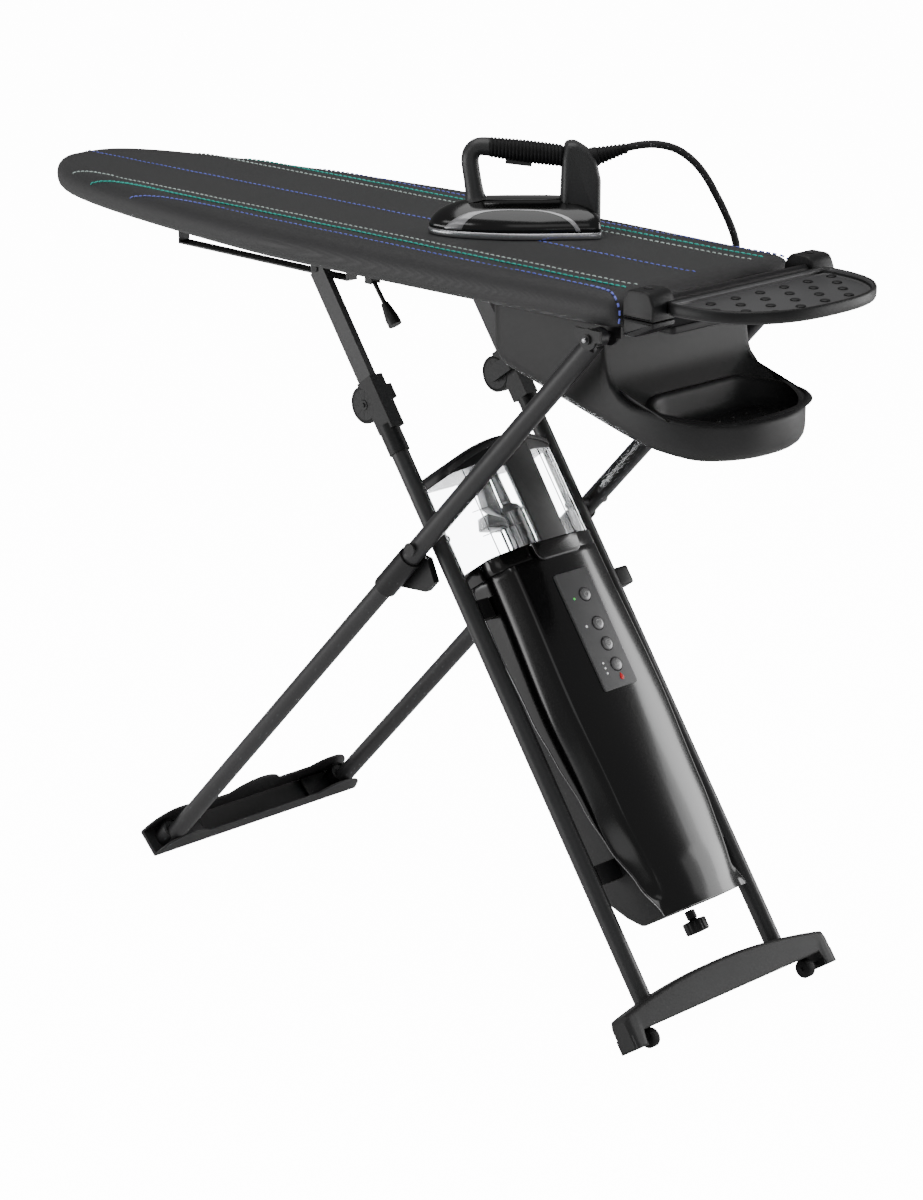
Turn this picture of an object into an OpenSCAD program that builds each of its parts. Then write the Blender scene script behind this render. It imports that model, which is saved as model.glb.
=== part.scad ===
// Integrated ironing system: padded board on a folding cross frame, steam generator between one pair of
// legs, storage box with basin, folding iron rest, and a hand iron on a braided steam cord.
// X runs from the board's nose to the iron rest, Z is up, the floor is Z = 0.

/* [Board] */
// Height of the top of the padding above the floor
board_h = 949; // [930:1:960]
// Length of the padded board from nose to square end
board_len = 1215; // [1195:1:1217]
// Half width of the padded board at its widest
board_half = 185; // [180:0.5:195]
// Thickness of the padded board over its rolled edge
board_t = 43; // [40:1:46]

/* [Stand] */
// Angle of the generator legs to the floor
stand_angle = 55; // [53:0.5:57]
// Outer diameter of the generator leg tubes
stand_tube_d = 24; // [22:1:26]
// Distance of the generator leg tubes from the middle plane
stand_y = 126; // [124:1:128]
// Outer diameter of the front leg tubes
leg_tube_d = 26; // [24:1:27]
// Distance of the front leg tubes from the middle plane
leg_y = 162; // [160:1:164]
// Half length of the feet
foot_half = 193; // [188:1:195]

/* [Generator] */
// Half width of the generator casing at its top
gen_half = 93; // [90:1:96]
// Half width of the generator casing at its lower end
gen_half_low = 81; // [74:1:84]
// Height along the legs of the casing's lower end
gen_low = 82; // [78:1:100]
// Height along the legs of the casing's upper end
gen_top = 565; // [555:1:570]
// Width of the control panel
panel_w = 60; // [50:1:64]
// Diameter of a push button
button_d = 17; // [12:1:18]

/* [Iron] */
// Length of the soleplate
iron_len = 220; // [210:1:225]
// Half width of the soleplate
iron_half = 52; // [46:1:55]
// Turn of the iron on the board, from the board's length
iron_turn = 46.5; // [40:0.5:50]

/* [Steam cord] */
// Outer diameter of the braided steam cord
cord_d = 10; // [8:0.5:11]

/* [Hidden] */
$fn = 64;
fit = 0.06;

// Frame: the generator legs start at the foot, the front legs hang from the upper pivot
foot_a = [535.5, 47.5];
pivot_top = [479.5, 894];
leg_angle = 46.6;
stand_cross = 635.3;
leg_cross = 448.8;
leg_len = 1169.8;
slide_u = 1029;
arm_from = 770;
arm_k = 27;
arm_y = 10;
arm_top = 868;
wheel_r = 22;
wheel_u = 842;
wheel_k = -25;
wheel_y = 120;
wheel_w = 17;
floor_wheel = [571.5, 150, 14];
floor_wheel_r = 12.5;

// Board
nose_x = -707.5;
nose_len = 607.5;
end_x = nose_x + board_len;
widest_x = nose_x + nose_len;
board_low = board_h - board_t;

// Storage box
box_half = 130;
box_x0 = 257.5;
box_x1 = 457.5;
tray_x = 622.5;
wall = 3;

// Rest
rest_axis = [554.5, 946];
rest_x = 707.5;
rest_half = 146;
rest_from = 578;

// Cord route: board side first, from the coil to the joint between the two halves
coil_c = [324, 66, 868];
coil_r = [36, 57];
coil_h = 46;
cord_x = 376;
cord_z = 886;
lower_route = [
    [376, 64, 886], [376, 80, 886], [376, 100, 886], [375, 120, 886], [374, 140, 886], [372, 160, 887],
    [370, 178, 889], [368, 194, 895], [366, 207, 905], [364, 215, 918], [362, 218, 932], [359, 216, 946],
    [356, 212, 959]
];
upper_route = [
    [355, 211, 962], [352, 207, 973], [348, 202, 986], [343, 197, 999], [338, 192, 1012], [332, 186, 1025],
    [325, 179, 1037], [317, 171, 1047], [308, 162, 1055], [298, 151, 1060], [287, 139, 1062],
    [276, 127, 1061], [265, 115, 1058]
];

// Colours
charcoal = [0.16, 0.16, 0.17];
black = [0.06, 0.06, 0.065];
gloss = [0.02, 0.02, 0.022];
grey = [0.33, 0.33, 0.34];
silver = [0.75, 0.75, 0.77];

module in_stand() {
    translate([foot_a[0], 0, foot_a[1]]) rotate([0, stand_angle - 90, 0]) children();
}

// Origin at the upper pivot, local Z runs up the front leg
module in_leg() {
    translate([pivot_top[0], 0, pivot_top[1]]) rotate([0, 90 - leg_angle, 0]) children();
}

module in_iron() {
    translate([91.5, -68, board_h]) rotate([0, 0, iron_turn]) children();
}

module both_sides() {
    children();
    mirror([0, 1, 0]) children();
}

// Cylinder whose axis runs along Y, centred on the origin
module rod_y(r, l) {
    rotate([90, 0, 0]) cylinder(r = r, h = l, center = true);
}

// ---------- generator stand ----------

module stand_tubes() color(charcoal) in_stand() difference() {
    both_sides() translate([0, stand_y, -20]) cylinder(d = stand_tube_d, h = arm_from + 26);
    both_sides() translate([0, stand_y, stand_cross]) rod_y(5, 60);
}

module stand_arms() color(charcoal) in_stand() both_sides() difference() {
    union() {
        translate([-arm_k / 2, stand_y - arm_y / 2, arm_top])
            cube([arm_k, arm_y, slide_u - arm_top - 2]);
        translate([2, stand_y - arm_y / 2, arm_from + 34]) cube([11, arm_y, arm_top - arm_from]);
        translate([0, stand_y, slide_u]) rod_y(9, arm_y);
    }
    translate([0, stand_y, slide_u]) rod_y(5 + fit, arm_y + 2);
}

module wheel_housings() color(black) in_stand() both_sides() difference() {
    union() {
        difference() {
            union() {
                translate([0, stand_y, arm_from - 8]) cylinder(d = 28, h = 40);
                translate([-14, stand_y - 14, arm_from + 24]) cube([29, 22, arm_top - arm_from - 24.4]);
            }
            translate([wheel_k, stand_y, wheel_u]) rod_y(wheel_r + 2, 80);
        }
        // Inner cheek and axle that carry the wheel
        translate([wheel_k, wheel_y - 14, wheel_u]) rod_y(10, 5);
        translate([wheel_k, wheel_y - 16.5, wheel_u - 10]) cube([14 - wheel_k, 5, 20]);
        translate([3, wheel_y - 14, wheel_u - 10]) cube([11, 12, 20]);
        translate([wheel_k, wheel_y - 2, wheel_u]) rod_y(3 - fit, 24);
    }
    translate([1.8, stand_y - arm_y / 2 - 0.2, arm_from + 33.8])
        cube([11.4, arm_y + 0.4, arm_top - arm_from]);
    translate([0, stand_y, arm_from - 21]) cylinder(d = stand_tube_d + 0.2, h = 28);
}

// Cross rod through both arms, with a roller at each end inside the rails
module slide_rod() color(silver) in_stand() translate([0, 0, slide_u]) {
    rod_y(5, 2 * (stand_y + arm_y / 2 + 2));
    both_sides() translate([0, 108, 0]) rod_y(6, 12);
}

foot_low = -55.2;
foot_k = [-4, 28];
foot_split = -36;

module foot_arch() {
    bow_r = (pow(foot_half, 2) + pow(20, 2)) / (2 * 20);
    intersection() {
        translate([foot_k[0], -foot_half, foot_split]) cube([foot_k[1] - foot_k[0], 2 * foot_half, 60]);
        translate([0, 0, 8 - bow_r]) rotate([0, 90, 0])
            cylinder(r = bow_r, h = 200, center = true, $fn = 200);
        linear_extrude(400, center = true) square([200, 2 * foot_half], center = true);
    }
}

module stand_foot() color(charcoal) difference() {
    in_stand() foot_arch();
    in_stand() both_sides() translate([0, stand_y, -20.1]) cylinder(d = stand_tube_d + 0.2, h = 60);
    both_sides() translate(floor_wheel) rod_y(floor_wheel_r + 4, 22);
}

// End blocks on the floor, each with the axle of a floor wheel
module stand_foot_pads() color(black) both_sides() {
    in_stand() translate([foot_k[0], foot_half - 22, foot_low])
        cube([foot_k[1] - foot_k[0] - 1, 21, foot_split - foot_low - 0.1]);
    translate(floor_wheel) translate([0, 8, 0]) rod_y(2 - fit, 34);
}

module floor_wheel() color(black) translate([floor_wheel[0], 0, floor_wheel[2]]) difference() {
    rod_y(floor_wheel_r, 14);
    rod_y(2, 20);
}

module floor_wheel_left() translate([0, -floor_wheel[1], 0]) floor_wheel();

module floor_wheel_right() translate([0, floor_wheel[1], 0]) floor_wheel();

module transport_wheel() color(black) in_stand() translate([wheel_k, 0, wheel_u]) difference() {
    union() {
        rod_y(wheel_r, wheel_w - 6);
        rod_y(7, wheel_w);
    }
    both_sides() translate([0, wheel_w / 2 - 2, 0]) rotate([90, 0, 0])
        difference() {
            cylinder(r = wheel_r - 4, h = 5, center = true);
            cylinder(r = 7, h = 6, center = true);
            for (a = [0:45:135]) rotate([0, 0, a]) cube([2.5, 2 * wheel_r, 6], center = true);
        }
    rod_y(3, 30);
}

module transport_wheel_left() translate([0, -wheel_y, 0]) transport_wheel();

module transport_wheel_right() translate([0, wheel_y, 0]) transport_wheel();

module cross_pivots() color(silver) in_stand() both_sides() translate([0, 0, stand_cross]) {
    translate([0, stand_y + 18, 0]) rod_y(5 - fit, 66);
    translate([0, leg_y + 16.4, 0]) rod_y(9, 3);
}

// Blocks between the casing and the tubes: height up the legs, inner face
bracket = [[150, 78.5], [520, 95.2]];

module generator_brackets() color(black) in_stand() both_sides() for (b = bracket)
    difference() {
        translate([-8, b[1], b[0]]) cube([16, 116 - b[1], 26]);
        translate([0, stand_y, b[0] - 1]) cylinder(d = stand_tube_d + 0.1, h = 28);
    }

// ---------- generator ----------

// Section of the casing: flat sides, arched front; k runs from the back to the front of the legs
module casing_slice(half, bow, front, back, u) {
    bow_r = (pow(half, 2) + pow(bow, 2)) / (2 * bow);
    translate([0, 0, u]) linear_extrude(1) intersection() {
        translate([front - bow_r, 0]) circle(r = bow_r, $fn = 96);
        translate([back, -half]) square([front - back, 2 * half]);
    }
}

module casing(inset) hull() {
    casing_slice(gen_half_low - inset, 14, 62 - inset, -60, gen_low + inset);
    casing_slice(gen_half + 6 - inset, 17, 66 - inset, -60, 370);
    casing_slice(gen_half - inset, 24, 66 - inset, -60, gen_top - 1);
}

// Side view of the rear housing: top back, lower back, chamfer, and the parting line to the front shell
parting = [[-18, gen_top + 1], [-16, 490], [-8, 380], [8, 250], [30, 130], [46, gen_low - 1]];

module rear_profile(grow) rotate([90, 0, 0]) translate([0, 0, -150]) linear_extrude(300)
    polygon(concat([for (p = parting) [p[0] + grow, p[1]]],
        [[-8, gen_low - 1], [-44, 122], [-44, gen_top + 1]]));

module front_profile() rotate([90, 0, 0]) translate([0, 0, -150]) linear_extrude(300)
    polygon(concat([for (p = parting) [p[0] + 0.4, p[1] + 0.1]], [[120, gen_low - 5], [120, gen_top + 5]]));

module generator_front() color(gloss) in_stand() difference() {
    intersection() {
        casing(0);
        front_profile();
    }
    difference() {
        casing(3);
        translate([0, 0, gen_top - 8]) linear_extrude(40) square([300, 300], center = true);
    }
    translate([10, -62, gen_top - 24]) cube([80, 124, 60]);
    translate([64 - 2.5, -panel_w / 2 - 0.3, 373 - 0.3]) cube([10, panel_w + 0.6, 164 + 0.6]);
}

module generator_rear() color(charcoal) in_stand() difference() {
    intersection() {
        hull() {
            translate([-60, -gen_half_low + 6, gen_low]) cube([130, 2 * gen_half_low - 12, 1]);
            translate([-60, -gen_half + 5, gen_top - 1]) cube([130, 2 * gen_half - 10, 1]);
        }
        rear_profile(0);
    }
    translate([-41, -70, 128]) cube([30, 140, gen_top - 134]);
    translate([-26, -64, 112]) cube([64, 128, gen_top - 118]);
    translate([11, 0, gen_low - 5]) cylinder(d = 16, h = 40);
    translate([-50, 40, 200]) rotate([0, 90, 0]) cylinder(d = 24.4, h = 12);
}

module boiler() color(silver) in_stand() translate([16, 0, 122]) difference() {
    union() {
        cylinder(r = 40, h = 138);
        translate([-5, 0, -14]) cylinder(d = 12, h = 16);
        rotate_extrude() translate([40, 70]) circle(r = 3);
    }
    translate([-5, 0, -20]) cylinder(d = 8, h = 30);
}

module steam_valve() color("goldenrod") in_stand() translate([16, 0, 262]) {
    cylinder(d = 26, h = 22);
    translate([0, 0, 22]) cylinder(d = 8, h = 20);
    translate([14, -10, 2]) cube([16, 20, 26]);
}

module water_pump() color("white") in_stand() translate([-8, -42, 330]) {
    cylinder(d = 40, h = 70);
    translate([0, 0, 70]) cylinder(d = 9, h = 18);
}

module control_board() color("darkgreen") in_stand() translate([50, -26, 380]) {
    cube([1.6, 52, 150]);
    translate([-10, 10, 60]) cube([10, 14, 12]);
    translate([-14, 30, 20]) cube([14, 12, 18]);
}

button_u = [502, 461, 432, 403];
button_y = 7;
panel_front = 66.5;

module control_panel() color(grey) in_stand() difference() {
    translate([panel_front - 4, -panel_w / 2, 373]) cube([4, panel_w, 164]);
    for (u = button_u) translate([40, button_y, u]) rotate([0, 90, 0]) cylinder(d = button_d + 0.6, h = 40);
    for (u = button_u) translate([40, -17, u]) rotate([0, 90, 0]) cylinder(d = 3.2, h = 40);
    translate([40, 7, 385]) rotate([0, 90, 0]) cylinder(d = 6.2, h = 40);
}

module indicator_lamps() color("white") in_stand() {
    for (u = button_u) translate([panel_front - 4, -17, u]) rotate([0, 90, 0]) cylinder(d = 3, h = 4.4);
    translate([panel_front - 4, 7, 385]) rotate([0, 90, 0]) cylinder(d = 6, h = 4.3);
}

module push_button(i) color(silver) in_stand() translate([panel_front - 8, button_y, button_u[i]])
    rotate([0, 90, 0]) {
        cylinder(d = button_d, h = 10.5);
        translate([0, 0, -4]) cylinder(d = 5, h = 5);
    }

module power_button() push_button(0);
module mode_button() push_button(1);
module pulse_button() push_button(2);
module fan_button() push_button(3);

module drain_cap() color(black) in_stand() translate([11, 0, 48]) difference() {
    union() {
        cylinder(d = 25, h = 20);
        translate([0, 0, 20]) cylinder(d = 12, h = 16);
    }
    for (a = [0:20:340]) rotate([0, 0, a]) translate([13, 0, -1]) cylinder(r = 1.2, h = 22, $fn = 16);
}

// Recessed socket for a mains lead in the back of the housing
module mains_inlet() color(black) in_stand() translate([-44.1, 40, 200]) rotate([0, 90, 0]) difference() {
    union() {
        cylinder(d = 24, h = 12);
        translate([0, 0, -4]) cylinder(d = 30, h = 4);
    }
    translate([-5, -8, -5]) cube([10, 16, 14]);
}

// Black ring the tank stands in; the tank drops in from above
dock_u = 568;
tank_low = dock_u + 12;
tank_h = 130;

module tank_outline(inset, front, h) linear_extrude(h) intersection() {
    translate([front - inset - 200, 0]) circle(r = 200, $fn = 96);
    translate([-42 + inset, -95 + inset]) square([140, 190 - 2 * inset]);
}

module tank_dock() color(black) in_stand() difference() {
    translate([0, 0, dock_u]) tank_outline(1, 62, 20);
    translate([0, 0, dock_u + 8]) tank_outline(3, 62, 20);
    translate([10, 0, dock_u - 1]) cylinder(d = 24, h = 20);
}

module water_tank() color([0.85, 0.9, 0.92, 0.4]) in_stand() difference() {
    translate([0, 0, tank_low]) tank_outline(3.5, 62, tank_h);
    translate([0, 0, tank_low + 2.5]) tank_outline(6, 62, tank_h);
    translate([10, 0, tank_low - 1]) cylinder(d = 18.2, h = 10);
}

module tank_lid() color(black) in_stand() intersection() {
    translate([0, 0, tank_low + tank_h + 0.1]) tank_outline(3.5, 62, 60);
    translate([0, 0, 740 - 260]) rotate([0, 90, 0]) cylinder(r = 260, h = 300, center = true, $fn = 128);
}

module tank_handle() color(grey) in_stand() {
    translate([58.6, -26, 592]) cube([6, 52, 124]);
}

module tank_filter() color(black) in_stand() translate([10, 0, tank_low - 8]) {
    cylinder(d = 18, h = 12);
    translate([0, 0, 12]) cylinder(d = 34, h = 60);
    translate([0, 0, 72]) cylinder(d = 12, h = 50);
}

// ---------- front legs ----------

module leg_tubes() color(charcoal) in_leg() both_sides() translate([0, leg_y, 0]) difference() {
    union() {
        translate([0, 0, chan_low + 6.1]) cylinder(d = leg_tube_d - 1, h = leg_len - leg_cross);
        translate([0, 0, -leg_cross - 40]) cylinder(d = leg_tube_d, h = leg_cross + 33);
        rod_y(leg_tube_d / 2 - 1.5, 12);
    }
    rod_y(4 + fit, 60);
    translate([0, 0, -leg_cross]) rod_y(5, 60);
    both_sides() translate([-20, 6, -15]) cube([40, 20, 30]);
}

// Sleeves where the wider upper tubes end, each with a plate towards the generator legs
module leg_collars() color(black) in_leg() both_sides() translate([0, leg_y, -leg_cross]) difference() {
    union() {
        translate([0, 0, -92]) cylinder(d = leg_tube_d + 6, h = 70);
        translate([0, -12, 0]) rotate([90, 0, 0]) linear_extrude(10)
            polygon([[0, -80], [12, -80], [43, -46], [43, -24], [14, -12], [0, -22]]);
    }
    translate([0, 0, -93]) cylinder(d = leg_tube_d + 0.1, h = 100);
}

// Open channel, low wall in front and high wall with three crests behind; v runs up the leg
chan_low = -leg_len - 47.2;
chan_x = [-28.5, 14.1];

module channel_wall(x, low, mid_crest, end_crest) translate([x, 0, chan_low]) rotate([90, 0, 90])
    linear_extrude(3) {
        translate([-foot_half, 0]) square([2 * foot_half, low]);
        intersection() {
            translate([0, mid_crest - 60]) circle(r = 60);
            translate([-60, 0]) square([120, 100]);
        }
        both_flat() intersection() {
            translate([foot_half - 48, end_crest - 60]) circle(r = 60);
            translate([foot_half - 108, 0]) square([108, 100]);
        }
    }

module both_flat() {
    children();
    mirror([1, 0]) children();
}

module front_foot() color(charcoal) in_leg() difference() {
    union() {
        translate([chan_x[0], -foot_half, chan_low]) cube([chan_x[1] - chan_x[0], 2 * foot_half, 6]);
        channel_wall(chan_x[0], 40, 64, 52);
        channel_wall(chan_x[1] - 3, 30, 30, 45);
        both_sides() translate([-6, leg_y, chan_low]) cylinder(d = leg_tube_d + 8, h = 32);
    }
    both_sides() translate([0, leg_y, chan_low + 6]) cylinder(d = leg_tube_d - 0.8, h = 60);
    both_sides() translate([-60, foot_half, chan_low + 6.5]) rotate([-54, 0, 0])
        translate([0, -90, 0]) cube([120, 100, 90]);
    translate([chan_x[1] - 16, -160, chan_low - 1]) cube([14, 320, 3]);
}

module front_foot_pads() color(black) in_leg() both_sides()
    translate([chan_x[1] - 15.8, 60, chan_low]) cube([13.6, 96, 1.9]);

// ---------- board ----------

function taper(x) = board_half - 26.7 * pow(max(0, x - widest_x) / 695, 2);
function nose(x) = pow(max(0, 1 - pow(max(0, widest_x - x) / nose_len, 1.15)), 1 / 2.9);
function half_at(x) = taper(x) * nose(x);
function nose_x_at(t) = nose_x + nose_len * (1 - cos(t * 90));

// Plan outline of the board, drawn in by inset
module board_plan(inset) {
    xs = concat([for (i = [1:14]) nose_x_at(i / 14)],
        [for (i = [1:5]) widest_x + i * (end_x - widest_x) / 5.2]);
    pts = concat([[nose_x + inset, 0]],
        [for (x = xs) [min(x + inset * (x < widest_x ? 1 - (x - nose_x) / nose_len : 0), end_x - inset),
            half_at(x) - inset * nose(x)]],
        [[end_x - inset - 10, half_at(end_x) - inset], [end_x - inset, half_at(end_x) - inset - 10]]);
    polygon(concat(pts, [for (i = [len(pts) - 1:-1:1]) [pts[i][0], -pts[i][1]]]));
}

module board_tub() color(charcoal) {
    difference() {
        translate([0, 0, board_low + 2]) linear_extrude(22) board_plan(8);
        translate([0, 0, board_low + 4]) linear_extrude(18) board_plan(10);
        for (x = [-560:80:440], y = [-80:40:80]) translate([x, y, board_low + 15])
            cylinder(d = 14, h = 20, $fn = 12);
    }
}

module board_padding() color("gainsboro") translate([0, 0, board_low + 24.4])
    linear_extrude(14.4) board_plan(6);

module board_cover() color([0.24, 0.24, 0.24]) difference() {
    union() {
        translate([0, 0, board_low + 6]) linear_extrude(board_t - 12) board_plan(0);
        translate([0, 0, board_low]) linear_extrude(6) board_plan(2.5);
        translate([0, 0, board_h - 6]) linear_extrude(6) board_plan(3);
    }
    translate([0, 0, board_low - 1]) linear_extrude(board_t - 3) board_plan(5.4);
}

// ---------- storage box under the square end ----------

function d_end(n, half, x0, x1) =
    [for (i = [0:n]) let (t = 90 * i / n) [x0 + (x1 - x0) * pow(sin(t), 0.85), half * pow(cos(t), 0.85)]];

module box_plan(inset) {
    side = d_end(12, box_half - inset, box_x1 + 10, tray_x - inset);
    polygon(concat([[box_x0 + inset, -(box_half - inset)]],
        [[box_x0 + inset, box_half - inset]], side,
        [for (i = [len(side) - 2:-1:0]) [side[i][0], -side[i][1]]]));
}

// Side outline: sloping underside raised by low, top edge of the tray raised by high
module box_side(low, high) rotate([90, 0, 0]) translate([0, 0, -200]) linear_extrude(400)
    polygon([[box_x0 - 5, board_low], [box_x0 - 5, 846 + low], [box_x0 + 6, 830 + low],
        [box_x0 + 28, 816 + low], [box_x1 + 70, 752 + low], [tray_x - 50, 742 + low],
        [tray_x + 5, 742 + low], [tray_x + 5, 790 + high], [box_x1 + 40, 806 + high],
        [box_x1, 830 + high], [box_x1, board_low]]);

basin_z = 760;
basin_x = 405;

// Plan of the basin, drawn in by inset
module basin_plan(inset) {
    mid = (basin_x + tray_x - 14) / 2;
    half_x = (tray_x - 14 - basin_x) / 2 - inset;
    half_y = box_half - 16 - inset;
    polygon([for (a = [0:10:350]) [mid + half_x * (cos(a) < 0 ? -1 : 1) * pow(abs(cos(a)), 0.75),
        half_y * (sin(a) < 0 ? -1 : 1) * pow(abs(sin(a)), 0.75)]]);
}

module storage_box() color(charcoal) difference() {
    intersection() {
        linear_extrude(1000) box_plan(0);
        box_side(0, 0);
    }
    // Bay for the blower and the stored cord, open to the board above
    intersection() {
        linear_extrude(1000) box_plan(wall);
        box_side(wall, 0);
        translate([box_x0, -200, 700]) cube([132, 400, 300]);
    }
    // Basin, open at the rim and under the end of the board
    intersection() {
        translate([0, 0, basin_z]) linear_extrude(130) basin_plan(0);
        box_side(wall + 2, 60);
    }
    // Slot for the steam cord gland in the far wall
    translate([cord_x - 9, box_half - 8, cord_z - 9]) cube([18, 12, 60]);
}

// Rubber mat on the flat part of the basin floor, with bumps
module basin_mat() color(black) {
    translate([0, 0, basin_z + 0.1]) linear_extrude(2) intersection() {
        basin_plan(4);
        translate([520, -200]) square([300, 400]);
    }
    for (i = [0:1], j = [-1.5:1.5]) translate([538 + 32 * i, 44 * j + 14 * i - 7, basin_z + 2])
        cylinder(r1 = 4, r2 = 2.5, h = 2.5, $fn = 24);
}

module blower_housing() color(black) translate([324, -66, 0]) difference() {
    translate([0, 0, 838]) cylinder(r = 50, h = 66);
    translate([0, 0, 842]) cylinder(r = 46, h = 58);
    translate([0, 0, 890]) cylinder(r = 30, h = 30);
}

module blower_motor() color(silver) translate([324, -66, 842.2]) {
    cylinder(d = 38, h = 20);
    translate([0, 0, 20]) cylinder(d = 6, h = 20);
}

module blower_fan() color(grey) translate([324, -66, 866]) difference() {
    union() {
        cylinder(r = 42, h = 2);
        cylinder(d = 16, h = 16);
        for (a = [0:30:330]) rotate([0, 0, a]) translate([14, 6, 0]) rotate([0, 0, 25]) cube([26, 1.6, 16]);
    }
    translate([0, 0, -1]) cylinder(d = 6 + 2 * fit, h = 30);
}

// Channels under the tub that the slide rod's rollers run in, open towards the arms
rail_z = 890.5;
lever_top = [75, -150, 900];

module slide_rails() color(charcoal) both_sides() difference() {
    translate([-350, 98, board_low - 28]) cube([340, 18, 29.9]);
    translate([-348, 100, rail_z - 10]) cube([336, 20, 20]);
    // Slot the slide rod crosses the inner wall in
    translate([-348, 90, rail_z - 8.5]) cube([336, 20, 17]);
}

module pivot_brackets() color(black) {
    ears();
    // Ears and pin for the height lever
    for (y = [lever_top[1] - 8, lever_top[1] + 6]) translate([lever_top[0] - 6, y, lever_top[2] - 6])
        cube([12, 2, board_low + 7.9 - lever_top[2]]);
    translate(lever_top) rod_y(2, 16);
}

module ears() both_sides() for (y = [leg_y - 21, leg_y + 16])
    difference() {
        translate([pivot_top[0], y, 0]) union() {
            translate([-20, 0, pivot_top[1] - 2]) cube([40, 4, board_low - pivot_top[1] + 2]);
            translate([0, 2, pivot_top[1]]) rod_y(13, 4);
        }
        translate([pivot_top[0], leg_y, pivot_top[1]]) rod_y(4 + fit, 60);
    }

module pivot_bolts() color(silver) both_sides() translate([pivot_top[0], leg_y, pivot_top[1]]) {
    rod_y(4, 44);
    translate([0, 21.5, 0]) rod_y(6, 3);
}

// ---------- iron rest ----------

module rest_hinge_blocks() color(charcoal) difference() {
    union() {
        both_sides() hinge_block();
        // Carrier across the end of the board and under its tub
        translate([end_x + 4, -165, board_low - 4]) cube([54, 330, 13]);
        translate([box_x1 + 0.5, -120, board_low - 4]) cube([60, 240, 3.9]);
        translate([box_x1 + 0.5, -120, board_low - 4]) cube([36, 240, 5.9]);
    }
    translate([rest_axis[0], 0, rest_axis[1]]) rod_y(4, 400);
}

module hinge_block() {
    translate([end_x + 12, 125, board_low - 4]) cube([48, 40, 45]);
    translate([end_x + 25, 145, board_low + 41]) rod_y(13, 40);
    translate([end_x + 47, 145, board_low + 41]) rod_y(13, 40);
    translate([end_x + 25, 125, board_low + 40]) cube([22, 40, 14]);
}

module rest_pin() color(silver) translate([rest_axis[0], 0, rest_axis[1]]) rod_y(4, 320);

function rest_edge(inset) = [for (i = [-12:12]) let (t = 90 * i / 12)
    [rest_from + (rest_x - rest_from - inset) * pow(cos(t), 0.8),
        (rest_half - inset) * pow(abs(sin(t)), 0.8) * (t < 0 ? -1 : 1)]];

module iron_rest() color(black) difference() {
    union() {
        translate([0, 0, 932]) linear_extrude(15) polygon(rest_edge(0));
        translate([rest_axis[0] - 2, -rest_half + 24, 932]) cube([30, 2 * rest_half - 48, 8]);
        for (y = [-108, -36, 36, 108]) translate([rest_axis[0], y, rest_axis[1]]) rod_y(9, 26);
    }
    translate([0, 0, 939]) linear_extrude(20) polygon(rest_edge(5));
    translate([rest_axis[0], 0, rest_axis[1]]) rod_y(4 + fit, 400);
    for (i = [0:3], j = [-3:3]) if (abs(j) < 3 || i < 2)
        translate([rest_from + 18 + 26 * i, 36 * j + (i % 2) * 18 - 9, 930])
            cylinder(d = 6, h = 20, $fn = 24);
}

// ---------- height lever ----------

module height_lever() color(black) translate(lever_top) rotate([0, 142, 0]) {
    difference() {
        union() {
            translate([0, 0, 3]) cylinder(d = 6, h = 35);
            rod_y(5.5, 10);
        }
        rod_y(2 + fit, 20);
    }
    translate([0, 0, 36]) cylinder(r1 = 5, r2 = 9, h = 22);
    translate([0, 0, 58]) cylinder(r = 9, h = 10);
}

// ---------- steam cord ----------

module steam_gland() color(black) translate([cord_x, box_half - 4.5, cord_z]) difference() {
    union() {
        translate([-8.8, -3, -8.8]) cube([17.6, 9, 27]);
        rod_y(8.8, 14);
    }
    rod_y(cord_d / 2 + 0.2, 40);
}

module cord_coil() color(black) translate(coil_c) rotate_extrude()
    translate([coil_r[0], -coil_h / 2]) square([coil_r[1] - coil_r[0], coil_h]);

function unit(v) = v / norm(v);
function along(route, i) = unit(route[min(i + 1, len(route) - 1)] - route[max(i - 1, 0)]);
function across(route, i) = unit(cross(along(route, i), [1, -0.5, 0]));
function ring(route, i, n) = let (a = across(route, i), b = cross(along(route, i), a))
    [for (j = [0:n - 1]) route[i] + cord_d / 2 * (cos(360 * j / n) * a + sin(360 * j / n) * b)];

module swept(route) {
    n = 10;
    rings = len(route);
    polyhedron(
        points = [for (i = [0:rings - 1]) each ring(route, i, n)],
        faces = concat(
            [[for (j = [0:n - 1]) j]],
            [for (i = [0:rings - 2], j = [0:n - 1])
                [i * n + j, (i + 1) * n + j, (i + 1) * n + (j + 1) % n, i * n + (j + 1) % n]],
            [[for (j = [n - 1:-1:0]) (rings - 1) * n + j]]));
}

module steam_cord_lower() color(black) swept(lower_route);

module steam_cord_upper() color(black) swept(upper_route);

// ---------- iron: local X runs from the tip to the heel ----------

function sole_half(s) = iron_half * pow(max(0, 1 - pow(max(0, 1 - s / 140), 2.2)), 0.62)
    * (1 - 0.1 * max(0, s - 140) / 80);

module sole_plan(inset) {
    xs = [for (i = [0:14]) iron_len * (1 - cos(90 * i / 14))];
    pts = [for (x = xs) [max(inset, min(x, iron_len - inset)),
        max(0, sole_half(x) - inset) * (x > iron_len - 8 ? 0.86 : 1)]];
    polygon(concat(pts, [for (i = [len(pts) - 1:-1:1]) [pts[i][0], -pts[i][1]]]));
}

module iron_soleplate() color(silver) in_iron() translate([0, 0, 0.3]) linear_extrude(9) sole_plan(0);

module iron_body() color(gloss) in_iron() difference() {
    hull() {
        translate([0, 0, 9.4]) linear_extrude(4) sole_plan(2);
        translate([22, 0, 30]) linear_extrude(4) scale([0.84, 0.84]) sole_plan(2);
        translate([46, 0, 44]) linear_extrude(1) scale([0.62, 0.5]) sole_plan(2);
    }
    translate([60, -22, 5]) cube([110, 44, 20]);
}

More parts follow.
